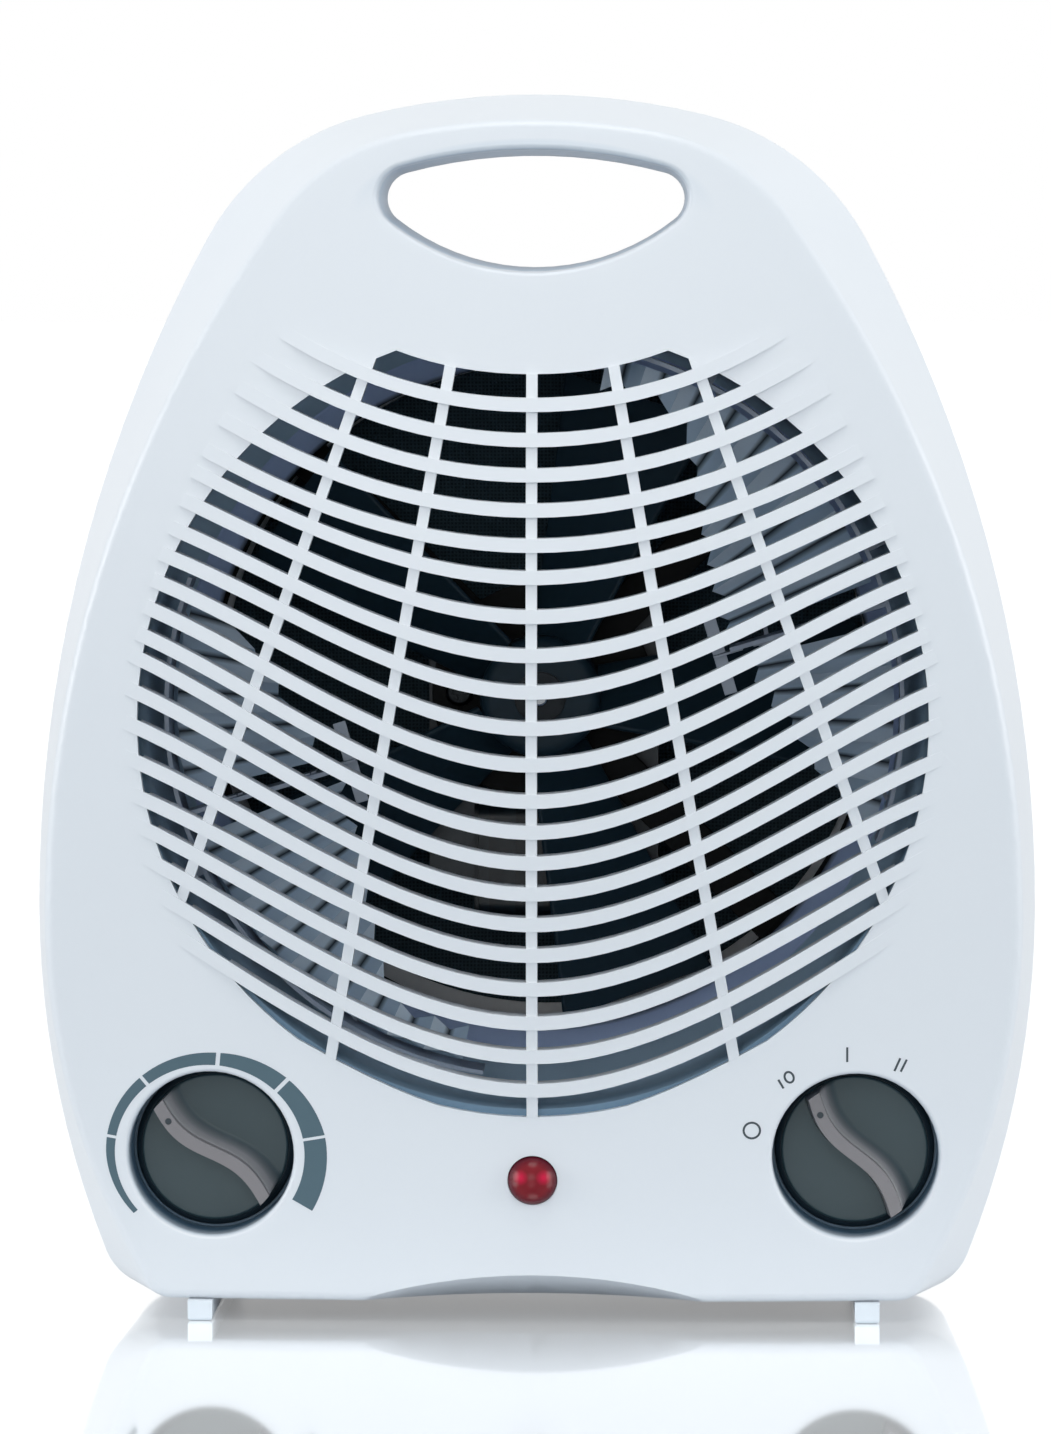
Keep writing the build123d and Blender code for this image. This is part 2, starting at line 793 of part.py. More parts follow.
def ears(y_start, y_end):
    """The four ears that join a flange to the duct's posts."""
    shapes = rods_at(ear_places(), ear_radius, y_start, y_end)
    for angle in ear_angles:
        root = flange_radius - ear_radius
        arm = Box(ear_circle - root, y_end - y_start, 2 * ear_radius)
        arm = Pos((ear_circle + root) / 2, (y_start + y_end) / 2, 0) * arm
        shapes += about_fan_axis(Rot(0, -angle, 0) * arm)
    return shapes


def duct_radius(y):
    """The duct's inner radius at that depth."""
    part = (y - duct_front_y) / (duct_rear_y - duct_front_y)
    return duct_front_radius + (duct_rear_radius - duct_front_radius) * part


def lug_bars(clearance):
    """The bars where the banks' lugs pass through the duct."""
    bars = Part()
    for half_turn in (0, 180):
        for angle in lug_angles:
            width = lug_width + 2 * clearance
            thick = 2 * mica_thickness + 2 * clearance
            reach = duct_front_radius + duct_wall + lug_proud + clearance
            bar = Box(reach - bank_outer_radius, width, thick)
            bar = Pos((bank_outer_radius + reach) / 2, bank_y, 0) * bar
            bars += about_fan_axis(Rot(0, -angle - half_turn, 0) * bar)
    return bars


def air_duct():
    """The funnel between the outlet and the fan, with its rear flange and the saddles of the safety devices."""
    tip, root = duct_radius(duct_front_y), duct_rear_radius
    collar = duct_rear_y - flange_thickness
    points = [(tip, duct_front_y), (tip + duct_wall, duct_front_y)]
    points += [(duct_radius(collar) + duct_wall, collar), (flange_radius, collar)]
    points += [(flange_radius, duct_rear_y), (root, duct_rear_y)]
    duct = ring_of_revolution(points) + ears(collar, duct_rear_y)
    air = [(0, duct_front_y), (tip, duct_front_y), (root, duct_rear_y), (0, duct_rear_y)]
    pads = block((0, safety_seat), around(cutout_y, cutout_plate[0]), around(0, cutout_plate[1]))
    pads += block((-safety_seat, 0), around(cutout_y, fuse_radius * 2), around(0, fuse_length * 0.7))
    duct += about_fan_axis(pads) - ring_of_revolution(air)
    duct -= rods_at(ear_places(), duct_screw_radius + slip_gap, collar, duct_rear_y)
    return duct - lug_bars(slip_gap)


def fan_shroud():
    """The ring round the fan, its bell mouth, and the four-armed spider that carries the motor."""
    rim = duct_rear_y + flange_thickness
    bore, mouth = shroud_bore, shroud_front_radius
    throat = duct_rear_y + shroud_mouth
    rear = spider_rear_y
    points = [(mouth, duct_rear_y), (flange_radius, duct_rear_y), (flange_radius, rim)]
    points += [(mouth + duct_wall, rim), (bore + duct_wall, throat), (bore + duct_wall, rear)]
    points += [(bore, rear), (bore, throat)]
    shroud = ring_of_revolution(points) + ears(duct_rear_y, rim)
    spider = about_fan_axis(rod(spider_disc_radius, shroud_rear_y, rear))
    arm = Pos(bore / 2, (shroud_rear_y + rear) / 2, 0) * Box(bore + duct_wall, spider_thickness, spider_width)
    for angle in ear_angles:
        spider += about_fan_axis(Rot(0, -angle, 0) * arm)
    spider += rods_at(motor_screw_places(), spider_boss_radius, rear, stator_front_y - bracket_thickness)
    shroud += spider
    shroud -= about_fan_axis(rod(spider_hole, shroud_rear_y - 1, rear + 1))
    shroud -= rods_at(motor_screw_places(), motor_screw_radius + slip_gap, shroud_rear_y - 1, stator_front_y)
    return shroud - rods_at(ear_places(), duct_screw_radius + slip_gap, duct_rear_y, rim)


def duct_screws():
    """The four screws that hold shroud and duct to the front cover's posts."""
    seat = duct_rear_y + flange_thickness
    tip = duct_rear_y - flange_thickness - duct_screw_length + 1
    return screws(ear_places(), duct_screw_radius, duct_screw_head, duct_screw_head_height, seat, tip)


def motor_screw_places():
    """Where the two motor screws stand."""
    return [(side * motor_screw_offset, outlet_height) for side in (-1, 1)]


def chord_distance(angle, facing):
    """How far from the fan's axis a run's straight inner edge lies in that direction."""
    return min(bank_near_limit, bank_chord_distance / math.cos(math.radians(angle - facing)))


def cross_strip(facing, side):
    """The mica strip behind a run, from the end plate to the arc plate."""
    y_end = bank_y + mica_width / 2
    low = strip_distance * math.tan(math.radians(facing - mica_tail_angle))
    reach = side * math.sqrt(bank_outer_radius**2 - strip_distance**2)
    along = sorted((mica_thickness / 4 - low, reach))
    strip = block((strip_distance, strip_distance + mica_thickness), (strip_y, y_end), along)
    return Rot(0, -facing, 0) * strip


def bank_frame(half_turn):
    """The mica carrier of a heating bank: arc plate, end plate, cross strips and lugs."""
    y_start, y_end = around(bank_y, mica_width)
    outer = bank_outer_radius + mica_thickness
    ring = tube(outer, bank_outer_radius, y_start, y_end)
    top_corner = polar((0, 0), 2 * outer, bank_tip_angle)
    low_corner = polar((0, 0), 2 * outer, bank_foot_angle)
    far_corner = (2 * outer, 2 * outer)
    sector = make_face(Polyline((0, 0), low_corner, far_corner, top_corner, close=True))
    frame = ring & extrude(at_depth(y_start - 1) * sector, -(mica_width + 2))
    near = chord_distance(mica_tail_angle, bank_runs[0][2])
    end = Box(outer - near - 0.2, mica_width, mica_thickness)
    end = Pos((near + outer) / 2, bank_y, mica_thickness / 2) * end
    frame += Rot(0, -mica_tail_angle, 0) * end
    for (start, stop, facing), side in zip(bank_runs, (1, -1)):
        frame += cross_strip(facing, side)
    for angle in lug_angles:
        reach = duct_radius(bank_y) + duct_wall + lug_proud
        lug = Pos((outer + reach) / 2 - mica_thickness / 2, bank_y, 0)
        lug *= Box(reach - bank_outer_radius, lug_width, 2 * mica_thickness)
        frame += Rot(0, -angle, 0) * lug
    return about_fan_axis(Rot(0, half_turn, 0) * frame)


def ribbon_run(start, stop, facing, half_turn):
    """A run of corrugated ribbon: facets folded to and fro in depth, with radial folds."""
    near, far = [], []
    folds = int((start - stop) / bank_fold_angle)
    for i in range(folds + 1):
        angle = start - i * bank_fold_angle
        sign = 1 if i % 2 else -1
        y = bank_y + sign * ribbon_depth / 2
        inner = chord_distance(angle, facing) + sign * ribbon_tooth
        x, z = polar((0, outlet_height), inner, angle + half_turn)
        near.append(Vector(x, y, z))
        x, z = polar((0, outlet_height), bank_outer_radius - bank_fold_gap, angle + half_turn)
        far.append(Vector(x, y, z))
    back = Vector(0, ribbon_thickness, 0)
    faces = []
    for i in range(folds):
        for shift in (Vector(0, 0, 0), back):
            faces.append([near[i] + shift, far[i] + shift, far[i + 1] + shift])
            faces.append([near[i] + shift, far[i + 1] + shift, near[i + 1] + shift])
        for row in (near, far):
            faces.append([row[i], row[i + 1], row[i + 1] + back, row[i] + back])
    for i in (0, folds):
        faces.append([near[i], far[i], far[i] + back, near[i] + back])
    shell = Shell([Face(Wire.make_polygon(points, close=True)) for points in faces])
    return Solid(shell)


def heating_ribbon(half_turn):
    """The two runs of a bank's ribbon, one on each side of the end plate."""
    return Compound([ribbon_run(*run, half_turn) for run in bank_runs])


def element_terminals():
    """Two flat tabs and a strap on the end plate of each heating bank."""
    y_mid = bank_y
    shapes = Part()
    for half_turn in (0, 180):
        for along in terminal_tab_places:
            tab = block(around(along, strap_head), around(y_mid, strap_head), (-strap_thickness, 0))
            tab += block(around(along, strap_width), (y_mid - strap_head, y_mid), (-strap_thickness, 0))
            shapes += about_fan_axis(Rot(0, half_turn - mica_tail_angle, 0) * tab)
        strap = block(around(strap_foot, strap_width), (y_mid, y_mid + strap_thickness), around(0, strap_length))
        across = (strap_foot - strap_width / 2, strap_foot + strap_head)
        strap += block(across, around(y_mid, strap_head), (-strap_thickness, 0))
        shapes += about_fan_axis(Rot(0, half_turn - mica_tail_angle, 0) * strap)
    return shapes


def thermal_cutout():
    """The thermal cut-out on the duct's side: a round body on a plate, with two tabs."""
    start = safety_seat + tab_size[2]
    top = start + cutout_height
    plate = block((safety_seat, start), around(cutout_y, cutout_plate[0]), around(0, cutout_plate[1]))
    body = Rot(0, 90, 0) * Cylinder(cutout_radius, cutout_height)
    body = fillet(body.edges().filter_by(GeomType.CIRCLE), 0.6)
    shapes = plate + Pos((start + top) / 2, cutout_y, 0) * body
    for side in (-1, 1):
        along = sorted((side * 2, side * cutout_plate[1] / 2))
        shapes += block((top, top + tab_size[2]), around(cutout_y, tab_size[0]), along)
    return about_fan_axis(shapes)


def thermal_fuse():
    """The one-shot thermal fuse in its saddle on the duct's other side."""
    x = -safety_seat - fuse_radius
    fuse = Pos(x, cutout_y, 0) * Cylinder(fuse_radius, fuse_length)
    fuse = fillet(fuse.edges().filter_by(GeomType.CIRCLE), 0.7)
    fuse += Pos(x, cutout_y, 0) * Cylinder(fuse_lead_radius, fuse_length + 2 * fuse_lead_length)
    return about_fan_axis(fuse)


def blade_section(radius, chord, pitch):
    """A blade's section at that radius, a slim rounded bar tilted to its pitch."""
    plane = Plane(origin=(radius, 0, 0), x_dir=(0, 1, 0), z_dir=(1, 0, 0))
    return plane * Rot(0, 0, 90 - pitch) * SlotOverall(chord, blade_thickness)


def impeller():
    """The axial impeller: a capped hub with an inner boss and swept blades."""
    mid = (fan_front_y + fan_rear_y) / 2
    hub = rod(fan_hub_radius, fan_front_y, fan_rear_y)
    front_edge = hub.edges().filter_by(GeomType.CIRCLE).sort_by(Axis.Y)[0]
    hub = fillet(front_edge, fan_hub_round)
    hub -= rod(fan_hub_radius - fan_hub_wall, fan_front_y + fan_hub_wall + 1, fan_rear_y + 1)
    hub += rod(fan_boss_radius, fan_front_y + fan_hub_wall, fan_rear_y)
    root = fan_hub_radius - fan_hub_wall / 2
    middle = (root + fan_radius) / 2
    sizes = [
        (root, blade_root_chord, blade_root_pitch),
        (middle, (blade_root_chord + blade_tip_chord) / 2, (blade_root_pitch + blade_tip_pitch) / 2),
        (fan_radius, blade_tip_chord, blade_tip_pitch),
    ]
    blade = Pos(0, mid, 0) * loft([blade_section(*size) for size in sizes])
    for i in range(blade_count):
        hub += Rot(0, i * 360 / blade_count, 0) * blade
    return about_fan_axis(hub - rod(motor_shaft_radius, fan_front_y - 1, fan_rear_y + 1))


def fan_clip():
    """The push-on clip that keeps the impeller on its shaft."""
    clip = tube(fan_clip_radius, motor_shaft_radius, fan_front_y - fan_clip_thickness, fan_front_y)
    for angle in (0, 120, 240):
        radial = (motor_shaft_radius - 0.5, fan_clip_radius * 0.6)
        slit = block(radial, (fan_front_y - 2, fan_front_y + 1), (-0.3, 0.3))
        clip -= Rot(0, angle, 0) * slit
    return about_fan_axis(clip)


def motor_shaft():
    """The motor's shaft, with a small chamfer at each end."""
    shaft = rod(motor_shaft_radius, fan_front_y - motor_shaft_front, motor_shaft_rear)
    return about_fan_axis(chamfer(shaft.edges().filter_by(GeomType.CIRCLE), 0.3))


def rotor_core():
    """The rotor: a round core with end rings."""
    core = tube(rotor_radius, motor_shaft_radius, stator_front_y, stator_rear_y)
    return about_fan_axis(core)


def stator_core():
    """The laminated stack: rotor bore at the top, window and coil limb below."""
    half = stator_half_width
    core = block((-half, half), (stator_front_y, stator_rear_y), (-stator_foot, stator_top))
    core = fillet(core.edges().filter_by(Axis.Y), 2)
    inner = half - stator_limb
    through = (stator_front_y - 1, stator_rear_y + 1)
    core -= block((-inner, inner), through, (stator_limb - stator_foot, -stator_window_top))
    core -= rod(rotor_radius + air_gap, *through)
    for side in (-1, 1):
        core -= rod(motor_screw_radius + slip_gap, *through, side * motor_screw_offset)
    return about_fan_axis(core)


def limb_sleeve(inner_gap, outer_gap, length):
    """A square sleeve about the coil limb, between those distances from it."""
    z_mid = stator_limb / 2 - stator_foot
    y_mid = (stator_front_y + stator_rear_y) / 2
    outer = [stator_thickness + 2 * outer_gap, stator_limb + 2 * outer_gap]
    inner = [stator_thickness + 2 * inner_gap, stator_limb + 2 * inner_gap]
    sleeve = Pos(0, y_mid, z_mid) * Box(length, *outer)
    sleeve = fillet(sleeve.edges().filter_by(Axis.X), min(outer_gap, 3))
    return sleeve - Pos(0, y_mid, z_mid) * Box(length + 2, *inner)


def coil_bobbin():
    """The bobbin round the coil limb."""
    width = 2 * (stator_half_width - stator_limb - slip_gap)
    start = slip_gap + bobbin_wall
    bobbin = limb_sleeve(slip_gap, start, width)
    for side in (-1, 1):
        x = side * (width - bobbin_flange) / 2
        bobbin += Pos(x, 0, 0) * limb_sleeve(slip_gap, start + coil_thickness + 0.4, bobbin_flange)
    return about_fan_axis(bobbin)


def motor_coil():
    """The winding on its bobbin."""
    width = 2 * (stator_half_width - stator_limb - slip_gap - bobbin_flange)
    start = slip_gap + bobbin_wall
    return about_fan_axis(limb_sleeve(start, start + coil_thickness, width))


def motor_bracket(y_foot, away):
    """A bearing bracket: two feet on the stack, two legs and a bridge that holds the bush."""
    t = bracket_thickness
    bridge_y = y_foot + away * bracket_bridge
    upright = (-bracket_width / 2, bracket_width / 2)
    shapes = Part()
    for side in (-1, 1):
        foot_x = sorted((side * bracket_leg, side * bracket_half_length))
        shapes += block(foot_x, sorted((y_foot, y_foot + away * t)), upright)
        leg_x = sorted((side * bracket_leg, side * (bracket_leg + t)))
        shapes += block(leg_x, sorted((y_foot, bridge_y + away * t)), upright)
    top = bracket_leg + t
    shapes += block((-top, top), sorted((bridge_y, bridge_y + away * t)), upright)
    shapes -= rod(bush_radius, bridge_y - 2 * t, bridge_y + 2 * t)
    hole = motor_screw_radius + slip_gap
    for side in (-1, 1):
        shapes -= rod(hole, y_foot - 2 * t, y_foot + 2 * t, side * motor_screw_offset)
    return about_fan_axis(shapes)


def motor_bush(y_foot, away):
    """A plain bearing bush in its bracket."""
    middle = y_foot + away * (bracket_bridge + bracket_thickness / 2)
    bore = motor_shaft_radius + running_clearance
    return about_fan_axis(tube(bush_radius, bore, *around(middle, bush_length)))


def motor_screws():
    """The two long screws with nuts that hold the motor to the spider."""
    rear = stator_rear_y + bracket_thickness
    tip = rear + motor_nut_height + 1
    places = motor_screw_places()
    head = (motor_screw_head, motor_screw_head_height)
    shapes = screws(places, motor_screw_radius, *head, shroud_rear_y, tip)
    hexagon = RegularPolygon(motor_nut_across / 2, 6, major_radius=False)
    for x, z in places:
        shapes += extrude(at_depth(rear) * Pos(x, z) * hexagon, -motor_nut_height)
    return shapes


def control_ears(x):
    """The plate that a control hangs on, with its two screw holes and its bush."""
    depth = (ear_front_y, ear_rear_y)
    width, _, height = thermostat_block
    plate = block(around(x, control_ear_length), depth, around(knob_height, control_ear_width))
    plate = fillet(plate.edges().filter_by(Axis.Y), control_ear_width * 0.45)
    plate += block(around(x, width), depth, around(knob_height, height))
    plate += rod(control_bush_radius, ear_front_y - control_bush_length, ear_front_y, x, knob_height)
    for end in (-1, 1):
        place = x + end * control_ear_spacing / 2
        plate -= rod(control_screw_radius + slip_gap, ear_front_y - 1, ear_rear_y + 1, place, knob_height)
    bore = control_shaft_radius + running_clearance
    return plate - rod(bore, ear_front_y - control_bush_length - 1, ear_rear_y, x, knob_height)


def control_bore(x):
    """The blind bore behind the ear plate that the shaft turns in."""
    return rod(control_shaft_radius + running_clearance, ear_rear_y, shaft_end_y, x, knob_height)


def tabs(x, y_start, count):
    """Flat terminal tabs side by side, pointing back."""
    shapes = Part()
    width, length, thick = tab_size
    for i in range(count):
        middle = x + (i - (count - 1) / 2) * tab_spacing
        tab = block(around(middle, width), (y_start, y_start + length), around(knob_height, thick))
        tab -= Pos(middle, y_start + length * 0.6, knob_height) * Cylinder(thick, 2 * thick)
        shapes += tab
    return shapes


def thermostat_body():
    """The thermostat: ear plate, ceramic block and a stack of contact strips."""
    x = -knob_offset
    width, depth, height = thermostat_block
    strip_width, strip_thickness, strip_length = thermostat_strip
    y = ear_rear_y + depth
    body = control_ears(x) + block(around(x, width), (ear_rear_y, y), around(knob_height, height))
    foot_z = knob_height - height / 2
    across = around(x, strip_width)
    for i in range(3):
        body += block(across, (y, y + strip_thickness), (foot_z, foot_z + strip_length))
        spacer = (y + strip_thickness, y + thermostat_strip_pitch)
        body += block(across, spacer, (foot_z, foot_z + strip_width))
        y += thermostat_strip_pitch
    return body - control_bore(x)


def switch_body():
    """The selector switch: ear plate, moulded block and terminal tabs."""
    x = knob_offset
    width, depth, height = switch_block
    rear = ear_rear_y + depth
    moulding = block(around(x, width), (ear_rear_y, rear), around(knob_height, height))
    moulding = fillet(moulding.edges().filter_by(Axis.Y), 2)
    return control_ears(x) + moulding + tabs(x, rear, 2) - control_bore(x)


def control_screws(side):
    """The two screws of one control."""
    places = [place for place in control_places() if place[0] * side > 0]
    tip = ear_front_y - control_screw_length + 1
    head = (control_screw_head, control_screw_head_height)
    return screws(places, control_screw_radius, *head, ear_rear_y, tip)


def place_knob(side, tilt, shape):
    """Puts a shape built round the Y axis at a knob, tilted anticlockwise seen from the front."""
    return Pos(side * knob_offset, 0, knob_height) * Rot(0, -tilt, 0) * shape


def shaft_bar(clearance):
    """A control's shaft, flat on one side where the knob sits, let out by the clearance."""
    radius = control_shaft_radius + clearance
    flat_height = control_shaft_radius - control_shaft_flat + clearance
    flat = block((-2 * radius, 2 * radius), (shaft_front_y - 1, hub_rear_y), (flat_height, 2 * radius))
    return rod(radius, shaft_front_y, shaft_end_y - seat_gap) - flat


def grip_sway(along):
    """How far the grip's wavy middle line lies to the side, at that distance along it."""
    return -grip_wave * math.sin(2 * math.pi * along / grip_wave_length)


def grip_face(width, y):
    """The grip's wavy outline of that width at that depth, pointer end up."""
    steps = 12
    lines = []
    for side in (-1, 1):
        points = []
        for i in range(steps + 1):
            along = grip_length * (i / steps - 0.5)
            points.append((side * width / 2 + grip_sway(along), along))
        lines.append(Spline(*points))
    ends = [Line(lines[0] @ t, lines[1] @ t) for t in (0, 1)]
    return at_depth(y) * make_face(lines + ends)


def grip_root(clearance):
    """The part of the grip that is let into the disc."""
    root = extrude(grip_face(grip_foot_width + 2 * clearance, disc_front_y), -grip_sink)
    return root & rod(knob_radius - grip_end_inset + clearance, disc_front_y, disc_front_y + grip_sink)


def knob(side, tilt):
    """A knob's disc with its hub, the bore for the shaft and the pocket for the grip."""
    disc = rod(knob_radius, disc_front_y, disc_rear_y)
    disc = fillet(disc.edges().filter_by(GeomType.CIRCLE), disc_edge_round)
    disc += rod(knob_hub_radius, disc_rear_y, hub_rear_y)
    disc -= shaft_bar(slip_gap / 2)
    return place_knob(side, tilt, disc - grip_root(slip_gap))


def grip(side, tilt):
    """A knob's wavy grip with drafted sides and a small pit as its pointer."""
    top_y = disc_front_y - grip_height
    bar = loft([grip_face(grip_foot_width, disc_front_y), grip_face(grip_top_width, top_y)])
    bar = bar & rod(knob_radius - grip_end_inset, disc_front_y, top_y)
    bar += grip_root(0)
    dot = (grip_sway(pointer_dot_circle), pointer_dot_circle)
    bar -= rod(pointer_dot_radius, top_y - 1, top_y + pointer_dot_depth, *dot)
    return place_knob(side, tilt, bar)


def lamp_lens():
    """The red lens: a domed cap with a flange behind the panel and a hollow barrel."""
    sphere = (lamp_radius**2 + lamp_dome**2) / (2 * lamp_dome)
    ball = Pos(0, lens_face_y - lamp_dome + sphere, 0) * Sphere(sphere)
    lens = ball & rod(lamp_radius, lens_face_y - lamp_dome - 1, lens_face_y)
    lens += rod(lamp_radius, lens_face_y, lens_face_y + lamp_length)
    lens += rod(lamp_flange_radius, lamp_seat_y, lamp_seat_y + lamp_flange_thickness)
    lens -= rod(lamp_radius - lamp_wall, lens_face_y + lamp_wall / 2, lens_face_y + lamp_length + 1)
    return Pos(0, 0, lamp_height) * lens


def lamp_clip():
    """The spring ring that keeps the lens in its boss."""
    start = lamp_seat_y + lamp_flange_thickness
    end = start + lamp_clip_thickness
    return tube(lamp_flange_radius + slip_gap, lamp_radius, start, end, 0, lamp_height)


def neon_lamp():
    """The neon lamp: a small glass envelope in a round base, with two leads."""
    start = lens_face_y + lamp_wall
    envelope = rod(neon_radius, start, start + neon_length)
    envelope = fillet(envelope.edges().filter_by(GeomType.CIRCLE).sort_by(Axis.Y)[0], neon_radius * 0.9)
    end = lens_face_y + lamp_length
    lamp = envelope + rod(lamp_radius - lamp_wall - slip_gap / 2, start + neon_length - 1, end)
    for side in (-1, 1):
        lamp += rod(fuse_lead_radius * 0.7, end, end + fuse_lead_length * 0.7, side * neon_radius / 2)
    return Pos(0, 0, lamp_height) * lamp


def cord_gland():
    """The rubber gland in the back: two flanges, a neck through the pad and a short tapered sleeve."""
    seat = gland_seat_y
    inside = seat - wall
    sleeve = Cone(gland_radius, gland_sleeve_radius, gland_sleeve_length)
    gland = Pos(0, seat + gland_flange + gland_sleeve_length / 2, 0) * Rot(-90, 0, 0) * sleeve
    gland += rod(gland_flange_radius, seat, seat + gland_flange)
    gland += rod(gland_radius, inside, seat)
    gland += rod(gland_inner_flange_radius, inside - gland_flange, inside)
    gland -= rod(gland_bore, inside - gland_flange - 1, seat + gland_flange + gland_sleeve_length + 1)
    return Pos(gland_offset, 0, gland_height) * gland


def terminal_screw_places():
    """Where the terminal block's screws stand, seen from above."""
    pitch = terminal_size[0] / terminal_poles
    first = terminal_offset - terminal_size[0] / 2 + pitch / 2
    ends = (terminal_y - terminal_size[1] / 4, terminal_y + terminal_size[1] / 4)
    return [(first + i * pitch, y) for i in range(terminal_poles) for y in ends]


def terminal_block():
    """The terminal block on the floor of the rear cover."""
    width, depth, height = terminal_size
    floor_z = body_bottom + wall
    body = block(around(terminal_offset, width), around(terminal_y, depth), (floor_z, floor_z + height))
    body = fillet(body.edges().group_by(Axis.Z)[-1], 0.8)
    pitch = width / terminal_poles
    groove = (floor_z + height * 0.45, floor_z + height + 1)
    for i in range(1, terminal_poles):
        x = terminal_offset - width / 2 + i * pitch
        body -= block(around(x, terminal_cheek), around(terminal_y, depth + 2), groove)
    for x, y in terminal_screw_places():
        body -= Pos(x, y, floor_z + height) * Cylinder(terminal_screw_radius + slip_gap, height)
    wire_z = floor_z + height * 0.3
    for x in sorted({x for x, y in terminal_screw_places()}):
        body -= rod(terminal_wire_radius, terminal_y - depth, terminal_y + depth, x, wire_z)
    return body


def terminal_screws():
    """The slotted screws of the terminal block."""
    top = body_bottom + wall + terminal_size[2]
    length = terminal_size[2] / 2 - terminal_screw_sink
    shapes = Part()
    for x, y in terminal_screw_places():
        pin = Pos(x, y, top - terminal_screw_sink - length / 2) * Cylinder(terminal_screw_radius, length)
        slot = Pos(x, y, top - terminal_screw_sink) * Box(2 * terminal_screw_radius + 1, 0.7, 1.2)
        shapes += pin - slot
    return shapes


# Places that need the helpers above
duct_front_y = panel_y + wall + sphere_dip(panel_sphere - wall, duct_front_radius + duct_wall)
lens_face_y = panel_front(0, lamp_height)
lamp_seat_y = panel_front(0, lamp_height - lamp_flange_radius) + wall
gland_seat_y = back_surface(gland_offset, gland_height) - gland_pad_depth

# One entry a STEP file
PARTS = {
    "front_cover": front_cover,
    "rear_cover": rear_cover,
    "intake_gauze": intake_gauze,
    "foot_left": lambda: foot(-1),
    "foot_right": lambda: foot(1),
    "case_screws": case_screws,
    "air_duct": air_duct,
    "duct_screws": duct_screws,
    "fan_shroud": fan_shroud,
    "bank_frame_high": lambda: bank_frame(0),
    "bank_frame_low": lambda: bank_frame(180),
    "heating_ribbon_high": lambda: heating_ribbon(0),
    "heating_ribbon_low": lambda: heating_ribbon(180),
    "element_terminals": element_terminals,
    "thermal_cutout": thermal_cutout,
    "thermal_fuse": thermal_fuse,
    "impeller": impeller,
    "fan_clip": fan_clip,
    "motor_shaft": motor_shaft,
    "rotor_core": rotor_core,
    "stator_core": stator_core,
    "coil_bobbin": coil_bobbin,
    "motor_coil": motor_coil,
    "motor_bracket_front": lambda: motor_bracket(stator_front_y, -1),
    "motor_bracket_rear": lambda: motor_bracket(stator_rear_y, 1),
    "motor_bush_front": lambda: motor_bush(stator_front_y, -1),
    "motor_bush_rear": lambda: motor_bush(stator_rear_y, 1),
    "motor_screws": motor_screws,
    "thermostat_body": thermostat_body,
    "thermostat_screws": lambda: control_screws(-1),
    "thermostat_shaft": lambda: place_knob(-1, thermostat_rest_angle, shaft_bar(0)),
    "thermostat_knob": lambda: knob(-1, thermostat_rest_angle),
    "thermostat_grip": lambda: grip(-1, thermostat_rest_angle),
    "switch_body": switch_body,
    "switch_screws": lambda: control_screws(1),
    "switch_shaft": lambda: place_knob(1, selector_rest_angle, shaft_bar(0)),
    "selector_knob": lambda: knob(1, selector_rest_angle),
    "selector_grip": lambda: grip(1, selector_rest_angle),
    "pilot_lamp_lens": lamp_lens,
    "lamp_clip": lamp_clip,
    "neon_lamp": neon_lamp,
    "cord_gland": cord_gland,
    "terminal_block": terminal_block,
    "terminal_screws": terminal_screws,
}


if __name__ == "__main__":
    os.makedirs("parts", exist_ok=True)
    for name, make in PARTS.items():
        export_step(make(), f"parts/{name}.step")
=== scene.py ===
import json
import math

import bmesh
import bpy
from mathutils import Matrix, Vector
from mathutils.bvhtree import BVHTree

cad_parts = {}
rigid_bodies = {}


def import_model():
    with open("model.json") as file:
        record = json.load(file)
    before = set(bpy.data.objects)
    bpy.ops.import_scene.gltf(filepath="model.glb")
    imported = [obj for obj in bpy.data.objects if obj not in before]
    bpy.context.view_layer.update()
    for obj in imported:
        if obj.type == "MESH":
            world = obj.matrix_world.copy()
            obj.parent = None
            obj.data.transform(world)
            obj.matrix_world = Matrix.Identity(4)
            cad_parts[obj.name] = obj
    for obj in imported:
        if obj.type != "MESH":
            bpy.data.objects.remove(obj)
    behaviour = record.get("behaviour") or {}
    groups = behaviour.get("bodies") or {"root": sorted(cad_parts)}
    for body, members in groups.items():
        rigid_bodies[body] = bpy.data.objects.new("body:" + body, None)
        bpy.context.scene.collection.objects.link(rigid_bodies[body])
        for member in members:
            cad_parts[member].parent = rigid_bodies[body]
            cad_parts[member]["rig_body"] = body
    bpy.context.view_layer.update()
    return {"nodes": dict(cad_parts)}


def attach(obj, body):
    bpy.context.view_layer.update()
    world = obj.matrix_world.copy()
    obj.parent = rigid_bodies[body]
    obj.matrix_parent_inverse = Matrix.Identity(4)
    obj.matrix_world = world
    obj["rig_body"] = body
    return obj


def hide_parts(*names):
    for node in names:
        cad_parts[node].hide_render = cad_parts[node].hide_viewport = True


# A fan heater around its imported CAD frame. Metres. The front faces -Y and +Z is up.
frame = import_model()
nodes = frame["nodes"]
MM = 0.001

# Photograph: its size, and where the outlet's middle stands in it
photo_width, photo_height = 1051, 1434
outlet_pixel = (531, 716)
outlet_middle = Vector((0, -58.5, 127.6)) * MM
camera_azimuth = 1.8
camera_elevation = 3.7
camera_distance = 1.4
pixels_per_metre = 4871

